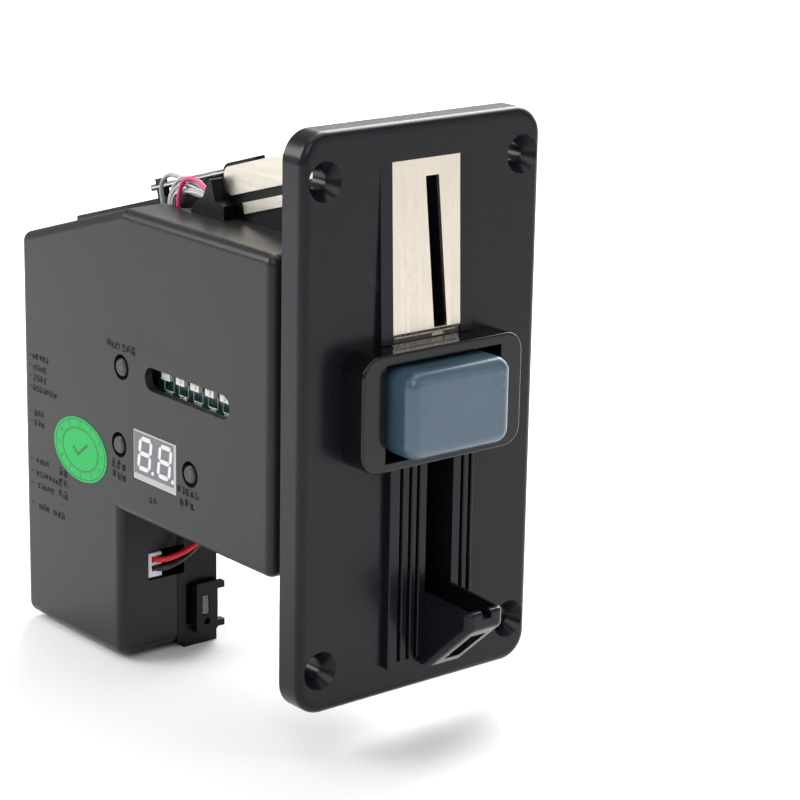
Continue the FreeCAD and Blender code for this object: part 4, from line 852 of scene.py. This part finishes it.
# all but the thicknesses are shares of the sticker's half size
stickerLook = {"outer": 0.93, "inner": 0.66, "line": 0.014, "ringSteps": 72, "ticks": 60,
               "tickTurn": 0.008, "tickShort": 0.07, "tickLong": 0.13, "height": 0.19,
               "numeralOut": 0.03, "thick": 0.02 * mm, "numeralThick": 0.01 * mm,
               "numeralLift": 0.012 * mm,
               "check": [(-0.3, 0.0), (-0.25, 0.06), (-0.09, -0.12), (0.25, 0.26), (0.3, 0.2),
                         (-0.09, -0.24)]}


def stickerArt(look):
    low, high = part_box("inspection_sticker")
    middle, half = (low + high) / 2, (high - low) / 2
    face, inner, line = low.x, look["inner"], look["line"]
    outlines = []

    def spot(angle, reach):
        return (middle.y - half.y * reach * math.sin(angle),
                middle.z + half.z * reach * math.cos(angle))

    def patch(start, end, near, far):
        outlines.append([spot(start, near), spot(end, near), spot(end, far), spot(start, far)])

    steps, turn = look["ringSteps"], look["tickTurn"]
    for reach in (look["outer"], inner):
        for step in range(steps):
            patch(math.tau * step / steps, math.tau * (step + 1) / steps, reach - line,
                  reach + line)
    for step in range(look["ticks"]):
        angle = math.tau * step / look["ticks"]
        deep = look["tickShort"] if step % 5 else look["tickLong"]
        patch(angle - turn, angle + turn, inner, inner + deep)
    # a check mark in the middle
    outlines.append([(middle.y - half.y * across, middle.z + half.z * up)
                     for across, up in look["check"]])
    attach(slabs("stickerRings", outlines, face, look["thick"], materials["labelInk"]),
            "housing")
    # text is drawn flat; this stands it on the cover, read from -X
    stand = Matrix(((0, 0, -1), (-1, 0, 0), (0, 1, 0))).to_4x4()
    for number in range(1, 13):
        letter = bpy.data.curves.new("numeral%d" % number, "FONT")
        letter.body, letter.size = str(number), half.z * look["height"]
        letter.align_x, letter.align_y = "CENTER", "CENTER"
        letter.extrude = look["numeralThick"]
        drawn = bpy.data.objects.new("numeralText", letter)
        bpy.context.scene.collection.objects.link(drawn)
        depsgraph = bpy.context.evaluated_depsgraph_get()
        mesh = bpy.data.meshes.new_from_object(drawn.evaluated_get(depsgraph))
        bpy.data.objects.remove(drawn)
        y, z = spot(math.tau * number / 12, (look["outer"] + inner) / 2 + look["numeralOut"])
        mesh.transform(Matrix.Translation((face - look["numeralLift"], y, z)) @ stand)
        mesh.materials.clear()
        mesh.materials.append(materials["labelInk"])
        piece = bpy.data.objects.new("numeral%d" % number, mesh)
        bpy.context.scene.collection.objects.link(piece)
        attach(piece, "housing")


stickerArt(stickerLook)
print("sticker printed")


# the sensor lead's fine strands: y, height above the deck, both in mm, and the spread
strandLook = {"count": 8, "wide": 0.62 * mm, "fan": 1.9 * mm, "inset": 0.5 * mm,
              "deck": 35.6 * mm, "sway": 0.35 * mm, "wander": 0.4,
              "route": [(46.4, 3.2, 0.3), (49.6, 4.2, 0.55), (53.6, 4.9, 0.9),
                        (57.6, 5.0, 1.0), (61.4, 3.6, 1.0), (63.3, 0.6, 0.9),
                        (63.4, -3.0, 0.7), (62.7, -7.5, 0.4), (61.8, -12.0, 0.2)]}


def layStrands(look):
    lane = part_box("lead_white")[1].x - look["inset"]
    for index in range(look["count"]):
        share = 2 * index / (look["count"] - 1) - 1
        side = look["sway"] * math.cos(index * 2.4)
        curve = bpy.data.curves.new("strand%d" % index, "CURVE")
        curve.dimensions, curve.bevel_depth = "3D", look["wide"] / 2
        curve.bevel_resolution, curve.resolution_u = 3, 8
        spline = curve.splines.new("NURBS")
        spline.points.add(len(look["route"]) - 1)
        for point, (y, rise, spread) in zip(spline.points, look["route"]):
            wander = look["wander"] * math.sin(index * 1.7 + y * 0.8)
            # above the deck the strands fan out upwards, and further down along y
            fan = (share + wander * 0.4) * look["fan"] * spread * (1 if rise > 1 else 0.2)
            along = share * 0.9 * spread * mm if rise < 2 else 0
            point.co = (lane + side * spread, y * mm + along, look["deck"] + rise * mm + fan, 1)
        spline.order_u, spline.use_endpoint_u = 3, True
        drawn = bpy.data.objects.new("strandCurve", curve)
        bpy.context.scene.collection.objects.link(drawn)
        depsgraph = bpy.context.evaluated_depsgraph_get()
        mesh = bpy.data.meshes.new_from_object(drawn.evaluated_get(depsgraph))
        bpy.data.objects.remove(drawn)
        mesh.materials.clear()
        mesh.materials.append(materials["pvcWhite" if index % 3 else "pvcGrey"])
        mesh.polygons.foreach_set("use_smooth", [True] * len(mesh.polygons))
        piece = bpy.data.objects.new("strand%d" % index, mesh)
        bpy.context.scene.collection.objects.link(piece)
        if index == 0:
            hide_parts("lead_white")
        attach(piece, "housing")


layStrands(strandLook)
print("strands laid:", strandLook["count"])


cameraLook = {"azimuth": -39.68, "elevation": 16.18, "roll": 1.10, "distance": 0.60174,
              "target": (-0.00007, 0.0, -0.00021), "lens": 124.88, "sensor": 36,
              "shiftX": -0.0002, "shiftY": 0.0066, "near": 0.01}


def placeCamera(look):
    camera = bpy.data.objects.new("camera", bpy.data.cameras.new("camera"))
    bpy.context.scene.collection.objects.link(camera)
    camera.data.lens, camera.data.sensor_width = look["lens"], look["sensor"]
    camera.data.shift_x, camera.data.shift_y = look["shiftX"], look["shiftY"]
    camera.data.clip_start = look["near"]
    azimuth, elevation = math.radians(look["azimuth"]), math.radians(look["elevation"])
    back = Vector((math.sin(azimuth) * math.cos(elevation),
                   -math.cos(azimuth) * math.cos(elevation), math.sin(elevation)))
    camera.location = Vector(look["target"]) + back * look["distance"]
    turn = back.to_track_quat("Z", "Y").to_matrix().to_4x4()
    spin = Matrix.Rotation(math.radians(look["roll"]), 4, "Z")
    camera.rotation_euler = (turn @ spin).to_euler()
    bpy.context.scene.camera = camera


stageLook = {"floorSize": 8.0, "floorTone": 0.9, "worldTone": 1.0, "worldPower": 0.38}
lights = {
    "keyLight": {"place": (-0.9, -0.75, 1.05), "size": 0.9, "power": 7},
    "frontSheet": {"place": (0.55, -1.2, 0.35), "size": 1.1, "power": 3},
    "topSheet": {"place": (0.1, 0.2, 1.5), "size": 1.4, "power": 11},
    "backRight": {"place": (0.80, 0.60, 0.83), "size": 0.8, "power": 17},
    "rightFill": {"place": (1.1, 0.45, 0.4), "size": 0.8, "power": 7},
    "backRim": {"place": (-0.55, 0.48, 0.36), "size": 0.4, "power": 4.5},
}


def buildStage(look):
    low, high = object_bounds()
    mesh = bpy.data.meshes.new("floor")
    half = look["floorSize"] / 2
    mesh.from_pydata([(-half, -half, low.z), (half, -half, low.z), (half, half, low.z),
                      (-half, half, low.z)], [], [(0, 1, 2, 3)])
    floor = bpy.data.objects.new("floor", mesh)
    bpy.context.scene.collection.objects.link(floor)
    tone = look["floorTone"]
    mesh.materials.append(Finish("floorPale", (tone, tone, tone), 0.7).material)
    floor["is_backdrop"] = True
    world = bpy.data.worlds.new("studio")
    world.use_nodes = True
    background = world.node_tree.nodes["Background"]
    background.inputs["Color"].default_value = (look["worldTone"],) * 3 + (1,)
    background.inputs["Strength"].default_value = look["worldPower"]
    bpy.context.scene.world = world


def hangLight(name, look):
    # a square panel that faces the origin
    light = bpy.data.lights.new(name, "AREA")
    light.shape, light.size, light.energy = "SQUARE", look["size"], look["power"]
    lamp = bpy.data.objects.new(name, light)
    lamp.location = look["place"]
    lamp.rotation_euler = Vector(look["place"]).to_track_quat("Z", "Y").to_euler()
    bpy.context.scene.collection.objects.link(lamp)


bpy.context.scene.view_settings.view_transform = "Standard"
placeCamera(cameraLook)
buildStage(stageLook)
for lampName, lampLook in lights.items():
    hangLight(lampName, lampLook)
print("camera and light set")
